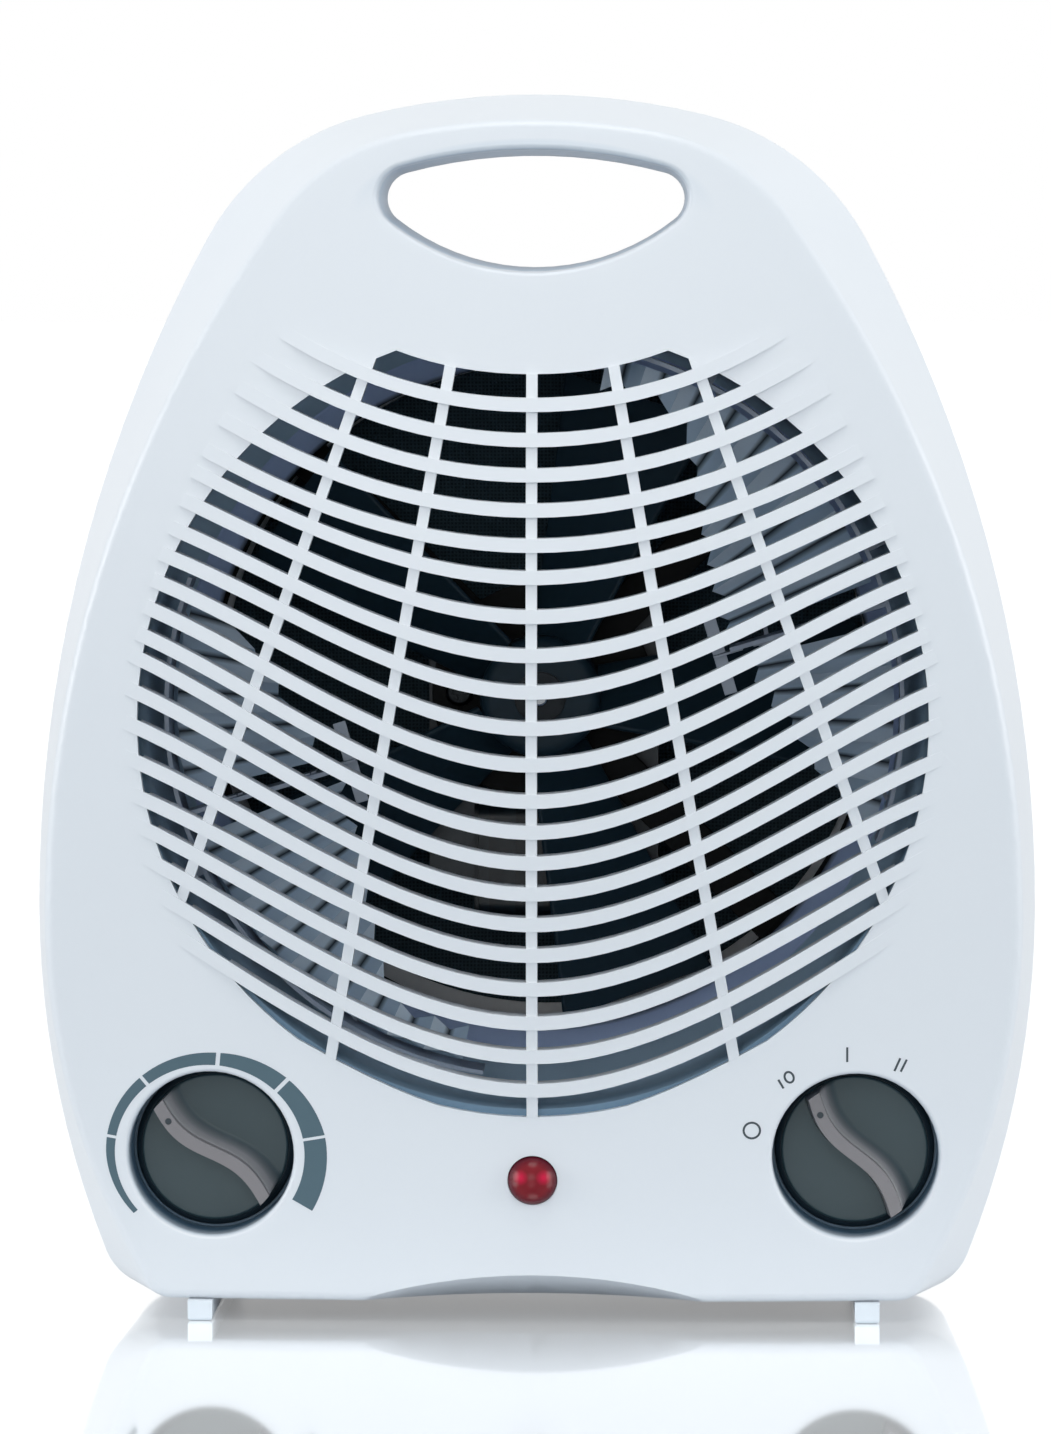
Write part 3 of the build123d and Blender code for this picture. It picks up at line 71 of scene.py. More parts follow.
# Studio: a plain sky, brighter in front than behind, and four large far lamps, each with its azimuth and
# elevation in degrees, its strength and its spread in degrees
sky_front, sky_back = 0.82, 0.3
sky_colour = "#EBF7FF"
lamp_colour = "#FFFEFC"
studio_lamps = (
    ("high_lamp", 0, 74, 0.82, 30),
    ("front_lamp", -5, 14, 0.49, 30),
    ("left_lamp", -78, 10, 1.12, 30),
    ("right_lamp", 79, 12, 1.07, 30),
)

# Floor: its own faint light, its mirror and where that runs out in front, in metres, its white far and near,
# and the light that it throws back up, which is stronger right below the heater's front
floor_lift = 0.2
floor_mirror = 0.75
floor_blur = 0.055
mirror_ends = (-0.36, -0.315)
far_white, near_white = 0.9, 0.72
bounce_ends = (-0.11, -0.075)
far_bounce = (0.42, 0.46, 0.5, 1)
near_bounce = (0.76, 0.8, 0.84, 1)

# Knobs in millimetres, as the CAD has them: where their axes stand, how each is turned, and the grip's shape
knob_offset = 67.0
knob_height = 35.5
disc_face_y = -35.9
disc_radius = 15.4
knob_tilts = {"thermostat": 47.3, "selector": 34.4}
grip_height = 10.2
grip_top_width = 2.7
grip_wave = 1.65
grip_wave_length = 31.0
dot_circle = 11.0
dot_radius = 0.68
dot_depth = 0.36
flank_widths = (2.9, 4.0)
flank_curve = 2.3
flank_tuck = 0.12
flank_drop = 0.14
flank_sink = 0.05
flank_rim = 0.45
flank_end = 0.5
# Heights above the disc between which the flank runs from grip grey to dial green-grey, with painted light
# and shade
flank_paint_heights = (4.5, 0.3)
skirt_profile = ((15.2, -34.9), (15.6, -34.8), (16.3, -34.2), (16.7, -33.4), (16.7, -32.75), (15.2, -32.75))

# Pilot lamp's lens: the middle of its dome's ball, the ring over which painted shade darkens it, and its two
# painted glows
lens_height = 30.4
lens_centre_y = -46.9
lens_shade_rim = (3.2, 5.0)
painted_glow_place = (2.4, 31.3)
painted_glow_radii = (0.3, 1.7)

# Holes with painted blue-grey shade on their walls: axis, height stretch, and the radii and depths over which
# it runs
well_painted_shade = (knob_offset, knob_height, 1.0, (17.4, 18.0), (-50.0, -38.0))
slot_painted_shade = (0, 231.0, 2.5, (36, 38), (-48.0, -42.0))

# Front panel: a shallow sphere, whose facets are split in a few rounds until none is longer than this
panel_centre = Vector((0, 845.4, 127.6)) * MM
panel_radius = 900 * MM
panel_facet = 5.0
panel_rounds = 6

# Printed dial marks, in millimetres from the knob's axis. The scale's stops are angle and thickness, its
# breaks angle and width.
print_height = 0.04
stroke_width = 0.45
scale_middle = (-0.3, -0.1)
scale_radii = (19.9, 18.85)
scale_stops = ((-130, 1.1), (-90, 1.85), (-40, 2.25), (5, 2.65), (45, 3.7), (80, 4.65), (120, 4.8))
scale_step = 3
scale_breaks = ((-80, 0.6), (-40, 0.75), (5.3, 0.9), (44.6, 0.85), (80.2, 0.6))

# The selector's figures: rings as middle, radii and lean, and strokes from end to end
ring_steps = 32
selector_rings = (((-21.5, 5.5), (1.7, 1.65), 0), ((-13.8, 16.7), (0.9, 1.15), 25))
selector_strokes = (
    ((-16.05, 16.2), (-14.95, 14.35)),
    ((-1.8, 22.95), (-1.8, 19.85)),
    ((9.2, 20.6), (8.0, 17.9)),
    ((10.55, 20.3), (9.3, 17.75)),
)


def linear(code):
    """A colour written as sRGB hex, as the linear RGBA that the nodes take."""
    parts = [int(code[i : i + 2], 16) / 255 for i in (1, 3, 5)]
    return (*[p / 12.92 if p <= 0.04045 else ((p + 0.055) / 1.055) ** 2.4 for p in parts], 1)


def add_node(tree, kind, inputs=(), **settings):
    """Adds one shader node: settings go on the node, and an input is a value or a socket to link from."""
    node = tree.nodes.new(kind)
    for key, value in settings.items():
        setattr(node, key, value)
    for key, value in dict(inputs).items():
        if isinstance(value, bpy.types.NodeSocket):
            tree.links.new(value, node.inputs[key])
        else:
            node.inputs[key].default_value = value
    return node


def new_material(name):
    """An empty material and its node tree."""
    material = bpy.data.materials.new(name)
    material.use_nodes = True
    material.node_tree.nodes.clear()
    return material, material.node_tree


def object_place(tree, stretch=(1, 1, 1)):
    """The object's own coordinates, scaled along each axis."""
    place = add_node(tree, "ShaderNodeTexCoord").outputs["Object"]
    return add_node(tree, "ShaderNodeMapping", {"Vector": place, "Scale": stretch}).outputs["Vector"]


def cloudy(place, size_mm, detail=2.0):
    """What a Noise node takes for features of about that size."""
    return {"Vector": place, "Scale": 1 / (size_mm * MM), "Detail": detail}


def striped(place, pitch_mm):
    """What a Wave node takes for lines at that pitch."""
    return {"Vector": place, "Scale": math.tau / (20 * pitch_mm * MM)}


def running(tree, value, ends, first, second):
    """A colour that runs from the first to the second as a value goes between the two ends."""
    inputs = {"Value": value, "From Min": ends[0], "From Max": ends[1]}
    share = add_node(tree, "ShaderNodeMapRange", inputs).outputs["Result"]
    inputs = {"Factor": share, 6: first, 7: second}
    return add_node(tree, "ShaderNodeMix", inputs, data_type="RGBA").outputs[2]


def from_axis(tree, place, across, height, stretch=1.0):
    """How far a point lies from the nearer of two axes along Y, left and right of the middle."""
    parts = add_node(tree, "ShaderNodeSeparateXYZ", {"Vector": place}).outputs
    beside = add_node(tree, "ShaderNodeMath", {0: parts["X"]}, operation="ABSOLUTE").outputs[0]
    flat = add_node(tree, "ShaderNodeCombineXYZ", {"X": beside, "Z": parts["Z"]}).outputs[0]
    axis = (across * MM, 0, height * MM)
    away = add_node(tree, "ShaderNodeVectorMath", {0: flat, 1: axis}, operation="SUBTRACT").outputs[0]
    scale = (1, 1, stretch)
    away = add_node(tree, "ShaderNodeVectorMath", {0: away, 1: scale}, operation="MULTIPLY").outputs[0]
    return add_node(tree, "ShaderNodeVectorMath", {0: away}, operation="LENGTH").outputs["Value"]


def share_of_painted_shade(tree, place, across, height, stretch, radii, depths):
    """How much painted shade a point takes in a hole: nothing outside it, and more with depth inside it."""
    radius = from_axis(tree, place, across, height, stretch)
    inputs = {"Value": radius, "From Min": radii[1] * MM, "From Max": radii[0] * MM}
    inside = add_node(tree, "ShaderNodeMapRange", inputs).outputs["Result"]
    depth = add_node(tree, "ShaderNodeSeparateXYZ", {"Vector": place}).outputs["Y"]
    inputs = {"Value": depth, "From Min": depths[0] * MM, "From Max": depths[1] * MM}
    behind = add_node(tree, "ShaderNodeMapRange", inputs).outputs["Result"]
    return add_node(tree, "ShaderNodeMath", {0: inside, 1: behind}, operation="MULTIPLY").outputs[0]


def surface(tree, colour, gloss, relief, lean=0, **sockets):
    """Joins colour, gloss and relief in the surface shader.

    Gloss is a pattern and the roughness at its two ends. Relief is a pattern and its depth in millimetres.
    A lean turns the surface's direction towards the front, as fine moulded steps would turn it.
    """
    inputs = {"Value": gloss[0], "To Min": gloss[1], "To Max": gloss[2]}
    roughness = add_node(tree, "ShaderNodeMapRange", inputs).outputs["Result"]
    inputs = {"Height": relief[0], "Distance": relief[1] * MM, "Strength": 1.0}
    facing = add_node(tree, "ShaderNodeBump", inputs).outputs["Normal"]
    if lean:
        inputs = {0: facing, 1: (0, -lean, 0)}
        facing = add_node(tree, "ShaderNodeVectorMath", inputs, operation="ADD").outputs[0]
        facing = add_node(tree, "ShaderNodeVectorMath", {0: facing}, operation="NORMALIZE").outputs[0]
    inputs = {"Base Color": colour, "Roughness": roughness, "Normal": facing, **sockets}
    shader = add_node(tree, "ShaderNodeBsdfPrincipled", inputs).outputs["BSDF"]
    add_node(tree, "ShaderNodeOutputMaterial", {"Surface": shader})


def moulded(name, pale, deep, mottle_mm, grain_mm, grain_depth_mm, roughness, spread, **sockets):
    """A moulded plastic: a slow drift between two close colours, and the tool's grain in gloss and relief."""
    material, tree = new_material(name)
    place = object_place(tree)
    mottle = add_node(tree, "ShaderNodeTexNoise", cloudy(place, mottle_mm, 3.0)).outputs["Fac"]
    colour = running(tree, mottle, (0, 1), linear(pale), linear(deep))
    grain = add_node(tree, "ShaderNodeTexNoise", cloudy(place, grain_mm)).outputs["Fac"]
    gloss = (grain, roughness - spread, roughness + spread)
    surface(tree, colour, gloss, (grain, grain_depth_mm), **sockets)
    return material


def shell_plastic(name, pale, deep, shades):
    """The shell's moulded plastic, with painted shade on the walls of its holes that deepens behind."""
    material, tree = new_material(name)
    place = object_place(tree)
    mottle = add_node(tree, "ShaderNodeTexNoise", cloudy(place, 60, 3.0)).outputs["Fac"]
    colour = running(tree, mottle, (0, 1), linear(pale), linear(deep))
    for painted_shade_colour, hole in shades:
        share = share_of_painted_shade(tree, place, *hole)
        colour = running(tree, share, (0, 1), colour, linear(painted_shade_colour))
    grain = add_node(tree, "ShaderNodeTexNoise", cloudy(place, 0.6)).outputs["Fac"]
    surface(tree, colour, (grain, 0.3, 0.38), (grain, 0.004))
    return material


def lens_plastic(name, glow, pale, deep):
    """Clear red plastic with painted shade at its rim and two painted glows where the side lamps would gather
    behind its dome.
    """
    material, tree = new_material(name)
    place = object_place(tree)
    shade_rim_ends = [radius * MM for radius in lens_shade_rim]
    colour = running(tree, from_axis(tree, place, 0, lens_height), shade_rim_ends, linear(pale), linear(deep))
    painted_glow_ends = [radius * MM for radius in painted_glow_radii]
    colour = running(tree, from_axis(tree, place, *painted_glow_place), painted_glow_ends, linear(glow), colour)
    centre = Vector((0, lens_centre_y, lens_height)) * MM
    outward = add_node(tree, "ShaderNodeVectorMath", {0: place, 1: centre}, operation="SUBTRACT").outputs[0]
    outward = add_node(tree, "ShaderNodeVectorMath", {0: outward}, operation="NORMALIZE").outputs[0]
    wear = add_node(tree, "ShaderNodeTexNoise", cloudy(place, 2.0)).outputs["Fac"]
    inputs = {"Value": wear, "To Min": 0.2, "To Max": 0.26}
    roughness = add_node(tree, "ShaderNodeMapRange", inputs).outputs["Result"]
    inputs = {"Base Color": colour, "Roughness": roughness, "Normal": outward, "Specular IOR Level": 0.2}
    shader = add_node(tree, "ShaderNodeBsdfPrincipled", inputs).outputs["BSDF"]
    add_node(tree, "ShaderNodeOutputMaterial", {"Surface": shader})
    return material


def drawn_metal(name, pale, deep, stretch, streak_mm, depth_mm, roughness, spread, metallic=1.0):
    """A metal with fine streaks along one direction, where stretch is small."""
    material, tree = new_material(name)
    place = object_place(tree, stretch)
    streak = add_node(tree, "ShaderNodeTexNoise", cloudy(place, streak_mm, 3.0)).outputs["Fac"]
    tarnish = add_node(tree, "ShaderNodeTexNoise", cloudy(object_place(tree), 7.0)).outputs["Fac"]
    colour = running(tree, tarnish, (0, 1), linear(pale), linear(deep))
    gloss = (streak, roughness - spread, roughness + spread)
    surface(tree, colour, gloss, (streak, depth_mm), Metallic=metallic)
    return material


def stacked_sheets(name, face, edge, sheet_mm):
    """A stack of punched sheets: narrow level lines in colour and relief, one per sheet along Y."""
    material, tree = new_material(name)
    place = object_place(tree)
    line = add_node(tree, "ShaderNodeTexWave", striped(place, sheet_mm), bands_direction="Y").outputs["Fac"]
    colour = running(tree, line, (0, 1), linear(edge), linear(face))
    varnish = add_node(tree, "ShaderNodeTexNoise", cloudy(place, 1.5)).outputs["Fac"]
    surface(tree, colour, (varnish, 0.3, 0.45), (line, 0.05), Metallic=0.9)
    return material


def woven(name, thread, gap, pitch_mm):
    """A square weave of dark threads, seen as two crossed waves."""
    material, tree = new_material(name)
    inputs = striped(object_place(tree), pitch_mm)
    across = add_node(tree, "ShaderNodeTexWave", inputs, bands_direction="X").outputs["Fac"]
    along = add_node(tree, "ShaderNodeTexWave", inputs, bands_direction="Z").outputs["Fac"]
    thickness = add_node(tree, "ShaderNodeMath", {0: across, 1: along}, operation="MAXIMUM").outputs[0]
    colour = running(tree, thickness, (0, 1), linear(gap), linear(thread))
    surface(tree, colour, (thickness, 0.85, 0.6), (thickness, 0.12))
    return material


def wound_tape(name, pale, deep, wrap_mm):
    """Varnished tape wound along X: overlapping wraps with a soft step at each edge."""
    material, tree = new_material(name)
    place = object_place(tree, (1, 0.25, 0.25))
    inputs = {**striped(place, wrap_mm), "Distortion": 1.2, "Detail": 2.0}
    wraps = add_node(tree, "ShaderNodeTexWave", inputs, bands_direction="X", wave_profile="SAW")
    wrap = wraps.outputs["Fac"]
    colour = running(tree, wrap, (0, 1), linear(deep), linear(pale))
    varnish = add_node(tree, "ShaderNodeTexNoise", cloudy(place, 2.0)).outputs["Fac"]
    surface(tree, colour, (varnish, 0.25, 0.5), (wrap, 0.15))
    return material


def painted_by_depth(name, front, rear, front_y, rear_y, lean, **sockets):
    """A moulded plastic whose colour, painted light and shade, turns between two depths given in millimetres.
    """
    material, tree = new_material(name)
    place = object_place(tree)
    depth = add_node(tree, "ShaderNodeSeparateXYZ", {"Vector": place}).outputs["Y"]
    colour = running(tree, depth, (front_y * MM, rear_y * MM), linear(front), linear(rear))
    grain = add_node(tree, "ShaderNodeTexNoise", cloudy(place, 0.35)).outputs["Fac"]
    surface(tree, colour, (grain, 0.4, 0.5), (grain, 0.01), lean, **sockets)
    return material


def ribbon_painted_light(name, bright, dim, deep, front_y, rear_y, lean):
    """A zigzag strip: painted light on one side of each fold and painted shade at the folds' rear ends."""
    material, tree = new_material(name)
    place = object_place(tree, (1, 1, 8))
    streak = add_node(tree, "ShaderNodeTexNoise", cloudy(place, 1.2, 3.0)).outputs["Fac"]
    facing = add_node(tree, "ShaderNodeNewGeometry").outputs["True Normal"]
    side = add_node(tree, "ShaderNodeSeparateXYZ", {"Vector": facing}).outputs["X"]
    colour = running(tree, side, (-0.3, 0.3), linear(dim), linear(bright))
    depth = add_node(tree, "ShaderNodeSeparateXYZ", {"Vector": object_place(tree)}).outputs["Y"]
    colour = running(tree, depth, (front_y * MM, rear_y * MM), colour, linear(deep))
    surface(tree, colour, (streak, 0.34, 0.46), (streak, 0.006), lean, Metallic=0.2)
    return material


# ABS, moulded in a satin-polished tool: a cool white with a soft gloss, its tooling grain only just there,
# with painted blue-grey shade on the walls of its wells and of its carrying slot
painted_hole_shades = (("#5E7E97", well_painted_shade), ("#A0B8CD", slot_painted_shade))
front_abs = shell_plastic("white_abs_front", "#E5E7EA", "#E1E3E7", painted_hole_shades)
rear_abs = moulded("white_abs_rear", "#E5E7EA", "#E1E3E7", 60, 0.6, 0.004, 0.34, 0.04)
# Polybutylene, moulded, blue-grey: duller than the shell because it is glass-filled. Painted light
# makes the duct lighter to its rear and the shroud pale at its mouth; painted shade blackens its throat
duct_pbt = painted_by_depth("duct_pbt_painted_light", "#68879F", "#C4E2FA", -44.5, -35.0, 2.4)
dull = {"Specular IOR Level": 0.1}
shroud_pbt = painted_by_depth("shroud_pbt_painted_light_and_shade", "#C2D4FA", "#05090C", 6.5, 8.2, 2.2, **dull)
# Nylon, moulded, blue-black: the fan's blades carry a low sheen
low_sheen = {"Specular IOR Level": 0.2}
fan_nylon = moulded("fan_nylon_black", "#263A46", "#1F313C", 20, 0.4, 0.006, 0.46, 0.07, **low_sheen)
# Dial ABS, dark green-grey with a fine spark-eroded face
dial_abs = moulded("dial_abs_grey", "#374B51", "#32464C", 12, 0.35, 0.012, 0.44, 0.05)
# Skirt of the knobs: the dial's plastic, painted nearly black as shade deep in the well
skirt_abs_painted_shade = moulded("skirt_abs_dark", "#22323C", "#1B2932", 12, 0.35, 0.012, 0.5, 0.05)
# Grip: a warm grey second shot of a softer plastic
grip_abs = moulded("grip_abs_warm_grey", "#7E7A7D", "#777476", 9, 0.3, 0.01, 0.42, 0.05)
# Flank: the grip's grey running into the dial's, painted lighter near the crest as light and darker at its
# foot as shade
flank_depths = [disc_face_y - height for height in flank_paint_heights]
grip_flank_painted = painted_by_depth("grip_abs_painted_light_and_shade", "#8C8B8E", "#33474E", *flank_depths, 1.2)
# Pilot lamp: crimson polycarbonate, polished, with painted shade at the rim and two painted glows
lens_red = lens_plastic("lens_polycarbonate_red", "#C0123C", "#7A1420", "#4A0A1C")
# Printing ink, matt, slate grey for the scale and near black for the figures
ink_slate = moulded("ink_slate_matt", "#4C646F", "#475E69", 5, 0.2, 0.003, 0.6, 0.05)
ink_dark = moulded("ink_dark_matt", "#3C464D", "#363F46", 5, 0.2, 0.003, 0.6, 0.05)
# Feet: the same white ABS with a duller tread
foot_abs = moulded("foot_abs_white", "#E3E8ED", "#DCE2E8", 15, 0.5, 0.01, 0.42, 0.05)
# Natural rubber of the gland: black, dusty matt
rubber = moulded("gland_rubber_black", "#1E2022", "#17191B", 6, 0.3, 0.01, 0.66, 0.06)
# Mica board: pale blue-grey with silvery flakes
mica_board = moulded("mica_board_flaked", "#B7C2D2", "#9FACBF", 2.2, 0.7, 0.03, 0.34, 0.1)
# Heating ribbon: iron-chrome-aluminium strip from the mill, with painted light and shade on its folds
ribbon_alloy = ribbon_painted_light("ribbon_alloy_painted_light", "#DDEBF8", "#AFC5DA", "#1B2730", -31.8, -30.0, 1.5)
# Blackened steel of the motor's screws and the fan's clip
blackened = drawn_metal("steel_blackened", "#2B2E31", "#222528", (1, 1, 1), 0.6, 0.004, 0.34, 0.08)
# Zinc-plated steel of the other screws
zinc = drawn_metal("steel_zinc_plated", "#C9CDD2", "#B7BBC0", (1, 1, 1), 0.6, 0.004, 0.3, 0.08)
# Tinned steel sheet of tabs, straps and brackets
tinned = drawn_metal("steel_tinned_sheet", "#D5D7DA", "#C4C7CB", (1, 0.2, 1), 0.8, 0.004, 0.28, 0.07)
# Straps and rivets of the heating banks: nickel-plated steel, dulled by heat
strap_grain = (1, 0.2, 1)
strap_steel = drawn_metal(
    "steel_strap_dulled", "#A2AAB6", "#8E98A6", strap_grain, 0.8, 0.004, 0.44, 0.07, metallic=0.6
)
# Ground steel shaft, turned lines round it
ground = drawn_metal("steel_ground_shaft", "#B9BDC2", "#ADB1B6", (0.2, 6, 0.2), 0.5, 0.002, 0.18, 0.05)
# Brass shaft of a control
brass = drawn_metal("brass_turned", "#C9A764", "#B99653", (0.3, 5, 0.3), 0.6, 0.003, 0.24, 0.06)
# Sintered bronze bush, porous and oily
bronze = moulded("bronze_sintered_oily", "#A9825A", "#946F4A", 1.2, 0.25, 0.02, 0.36, 0.1, Metallic=1.0)
# Rotor: electrical steel under cast aluminium end rings
rotor_alloy = drawn_metal("rotor_steel_turned", "#A4A7AB", "#8E9195", (0.4, 4, 0.4), 0.7, 0.01, 0.34, 0.08)
# Stator: half-millimetre steel sheets, varnished
core_sheets = stacked_sheets("core_steel_stacked", "#7E8286", "#3F4245", 0.5)
# Bobbin: black nylon
bobbin_nylon = moulded("bobbin_nylon_black", "#18242B", "#121B21", 8, 0.5, 0.01, 0.45, 0.05)
# Terminal block: natural nylon, slightly translucent ivory
milky = {"Subsurface Weight": 0.15, "Subsurface Scale": 0.002}
nylon = moulded("nylon_ivory", "#DED8C6", "#D2CBB6", 8, 0.5, 0.01, 0.4, 0.05, **milky)
# Winding tape: black varnished cloth
tape = wound_tape("coil_tape_black", "#1B2830", "#131D24", 6.0)
# Phenolic, black-brown, compression moulded
phenolic = moulded("phenolic_black", "#2A2523", "#221E1C", 5, 0.4, 0.012, 0.38, 0.06)
# Steatite ceramic of the thermostat, chalky
ceramic = moulded("ceramic_steatite", "#DAD5CB", "#CBC5B9", 6, 0.4, 0.02, 0.62, 0.06)
# Neon lamp's glass, faintly amber
lamp_glass = moulded("lamp_glass_amber", "#D9B08A", "#CFA079", 3, 0.4, 0.002, 0.08, 0.02)
# Dust gauze: dark polyester threads, woven, drawn about as coarse as it needs to show
gauze = woven("gauze_polyester_black", "#2A4653", "#182C36", 0.8)

# Every node of the frame: its finish, and how far its edges are rounded where it is a moulding or a casting
dress = {
    "front_cover": (front_abs, 0.45),
    "rear_cover": (rear_abs, 0.4),
    "intake_gauze": (gauze, 0),
    "foot_left": (foot_abs, 0),
    "foot_right": (foot_abs, 0),
    "case_screws": (zinc, 0.12),
    "air_duct": (duct_pbt, 0.3),
    "duct_screws": (zinc, 0.12),
    "fan_shroud": (shroud_pbt, 0.3),
    "bank_frame_high": (mica_board, 0),
    "bank_frame_low": (mica_board, 0),
    "heating_ribbon_high": (ribbon_alloy, 0),
    "heating_ribbon_low": (ribbon_alloy, 0),
    "element_terminals": (strap_steel, 0.08),
    "thermal_cutout": (phenolic, 0),
    "thermal_fuse": (tinned, 0),
    "impeller": (fan_nylon, 0.25),
    "fan_clip": (blackened, 0.08),
    "motor_shaft": (ground, 0),
    "rotor_core": (rotor_alloy, 0.15),
    "stator_core": (core_sheets, 0.08),
    "coil_bobbin": (bobbin_nylon, 0.15),
    "motor_coil": (tape, 0.8),
    "motor_bracket_front": (tinned, 0.15),
    "motor_bracket_rear": (tinned, 0.15),
    "motor_bush_front": (bronze, 0.15),
    "motor_bush_rear": (bronze, 0.15),
    "motor_screws": (blackened, 0.1),
    "thermostat_body": (ceramic, 0.15),
    "thermostat_screws": (zinc, 0.1),
    "thermostat_shaft": (brass, 0.1),
    "thermostat_knob": (dial_abs, 0.1),
    "thermostat_grip": (grip_abs, 0.22),
    "switch_body": (phenolic, 0.15),
    "switch_screws": (zinc, 0.1),
    "switch_shaft": (brass, 0.1),
    "selector_knob": (dial_abs, 0.1),
    "selector_grip": (grip_abs, 0.22),
    "pilot_lamp_lens": (lens_red, 0.15),
    "lamp_clip": (tinned, 0.08),
    "neon_lamp": (lamp_glass, 0),
    "cord_gland": (rubber, 0.2),
    "terminal_block": (nylon, 0.15),
    "terminal_screws": (zinc, 0.08),
}


def piece_of(name, form, material, body):
    """Turns a finished bmesh into a smooth-shaded piece that rides on a body."""
    mesh = bpy.data.meshes.new(name)
    bmesh.ops.recalc_face_normals(form, faces=form.faces)
    for face in form.faces:
        face.smooth = True
    form.to_mesh(mesh)
    form.free()
    mesh.materials.append(material)
    piece = bpy.data.objects.new(name, mesh)
    bpy.context.scene.collection.objects.link(piece)
    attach(piece, body)
    return piece


def round_edges(piece, radius, angle):
    """Rounds a piece's edges that turn by more than the angle, and evens out its shading."""
    bevel = piece.modifiers.new("edges", "BEVEL")
    bevel.width = radius
    bevel.segments = 3
    bevel.limit_method = "ANGLE"
    bevel.angle_limit = math.radians(angle)
    bevel.harden_normals = False
    weighted = piece.modifiers.new("normals", "WEIGHTED_NORMAL")
    weighted.keep_sharp = True


def on_sphere(vert):
    """Whether a corner lies on the front panel's sphere."""
    return abs((vert.co - panel_centre).length - panel_radius) < 0.01 * MM


def even_panel(form):
    """Splits the front panel's long facets and lays their new corners on its sphere, for even shading."""
    for _ in range(panel_rounds):
        faces = [f for f in form.faces if all(on_sphere(v) for v in f.verts)]
        edges = dict.fromkeys(e for f in faces for e in f.edges if e.calc_length() > panel_facet * MM)
        if not edges:
            return
        made = bmesh.ops.subdivide_edges(form, edges=list(edges), cuts=1)
        for part in made["geom_inner"]:
            if isinstance(part, bmesh.types.BMVert):
                part.co = panel_centre + (part.co - panel_centre).normalized() * panel_radius
        wide = [f for f in form.faces if len(f.verts) > 3]
        bmesh.ops.triangulate(form, faces=wide)


def softened(name, material, radius):
    """A copy of a CAD node with its corners joined and its edges rounded, standing for that node."""
    form = bmesh.new()
    form.from_mesh(nodes[name].data)
    bmesh.ops.remove_doubles(form, verts=form.verts, dist=0.002 * MM)
    bmesh.ops.dissolve_degenerate(form, edges=form.edges, dist=0.002 * MM)
    if name == "front_cover":
        even_panel(form)
    piece = piece_of(name + "_soft", form, material, nodes[name]["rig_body"])
    round_edges(piece, radius * MM, 40)
    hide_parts(name)
    return piece


for name, (material, radius) in dress.items():
    nodes[name].data.materials.clear()
    nodes[name].data.materials.append(material)
    if radius:
        softened(name, material, radius)


# Dial marks: thin ink on the front panel, found by looking straight back at it
cover_mesh = bpy.data.objects["front_cover_soft"].data
cover_corners = [v.co for v in cover_mesh.vertices]
cover_tree = BVHTree.FromPolygons(cover_corners, [p.vertices for p in cover_mesh.polygons])


def on_panel(x, z):
    """The place on the panel in front of a point given in millimetres, lifted by the ink's height."""
    hit = cover_tree.ray_cast(Vector((x * MM, -0.2, z * MM)), Vector((0, 1, 0)))[0]
    return hit - Vector((0, print_height * MM, 0))


def print_strip(form, rows, closed=False):
    """Ink between two lines: rows of inner and outer points on the panel, in millimetres."""
    corners = [[form.verts.new(on_panel(*point)) for point in row] for row in rows]
    pairs = list(zip(corners, corners[1:]))
    if closed:
        pairs.append((corners[-1], corners[0]))
    for here, there in pairs:
        for i in range(len(here) - 1):
            form.faces.new((here[i], here[i + 1], there[i + 1], there[i]))


def scale_thickness(angle):
    """The scale's thickness at that angle, between its stops."""
    for (start, low), (end, high) in zip(scale_stops, scale_stops[1:]):
        if angle <= end:
            return low + (high - low) * (angle - start) / (end - start)
    return scale_stops[-1][1]


def scale_row(axis_x, angle, slide):
    """Inner, middle and outer points of the scale at an angle, slid along the arc by that length."""
    turn = math.radians(angle)
    out = Vector((math.sin(turn), math.cos(turn)))
    along = Vector((math.cos(turn), -math.sin(turn))) * slide
    inner = Vector((scale_radii[0] * out.x, scale_radii[1] * out.y)) + along
    middle = Vector((axis_x + scale_middle[0], knob_height + scale_middle[1])) + inner
    return [middle + out * scale_thickness(angle) * share for share in (0, 0.5, 1)]


def dial_scale(axis_x):
    """The growing scale round the thermostat's knob, broken by narrow gaps."""
    form = bmesh.new()
    start, slide = scale_stops[0][0], 0
    for angle, gap in (*scale_breaks, (scale_stops[-1][0], 0)):
        count = math.ceil((angle - start) / scale_step)
        rows = []
        for i in range(count + 1):
            shift = slide if i == 0 else (-gap / 2 if i == count else 0)
            rows.append(scale_row(axis_x, start + (angle - start) * i / count, shift))
        print_strip(form, rows)
        start, slide = angle, gap / 2
    return form


def bar_rows(axis_x, start, end):
    """A straight printed stroke between two points beside a knob."""
    low, high = Vector(start), Vector(end)
    side = (high - low).orthogonal().normalized() * stroke_width / 2
    origin = Vector((axis_x, knob_height))
    return [[origin + low.lerp(high, t) + side * s for s in (-1, 1)] for t in (0, 0.5, 1)]


def ring_rows(axis_x, middle, radii, lean):
    """A printed oval ring beside a knob, leaning to the left by that angle."""
    origin = Vector((axis_x + middle[0], knob_height + middle[1]))
    turn = Matrix.Rotation(math.radians(lean), 2)
    rows = []
    for i in range(ring_steps):
        angle = math.tau * i / ring_steps
        row = []
        for side in (-0.5, 0.5):
            across = (radii[0] + side * stroke_width) * math.cos(angle)
            up = (radii[1] + side * stroke_width) * math.sin(angle)
            row.append(origin + turn @ Vector((across, up)))
        rows.append(row)
    return rows


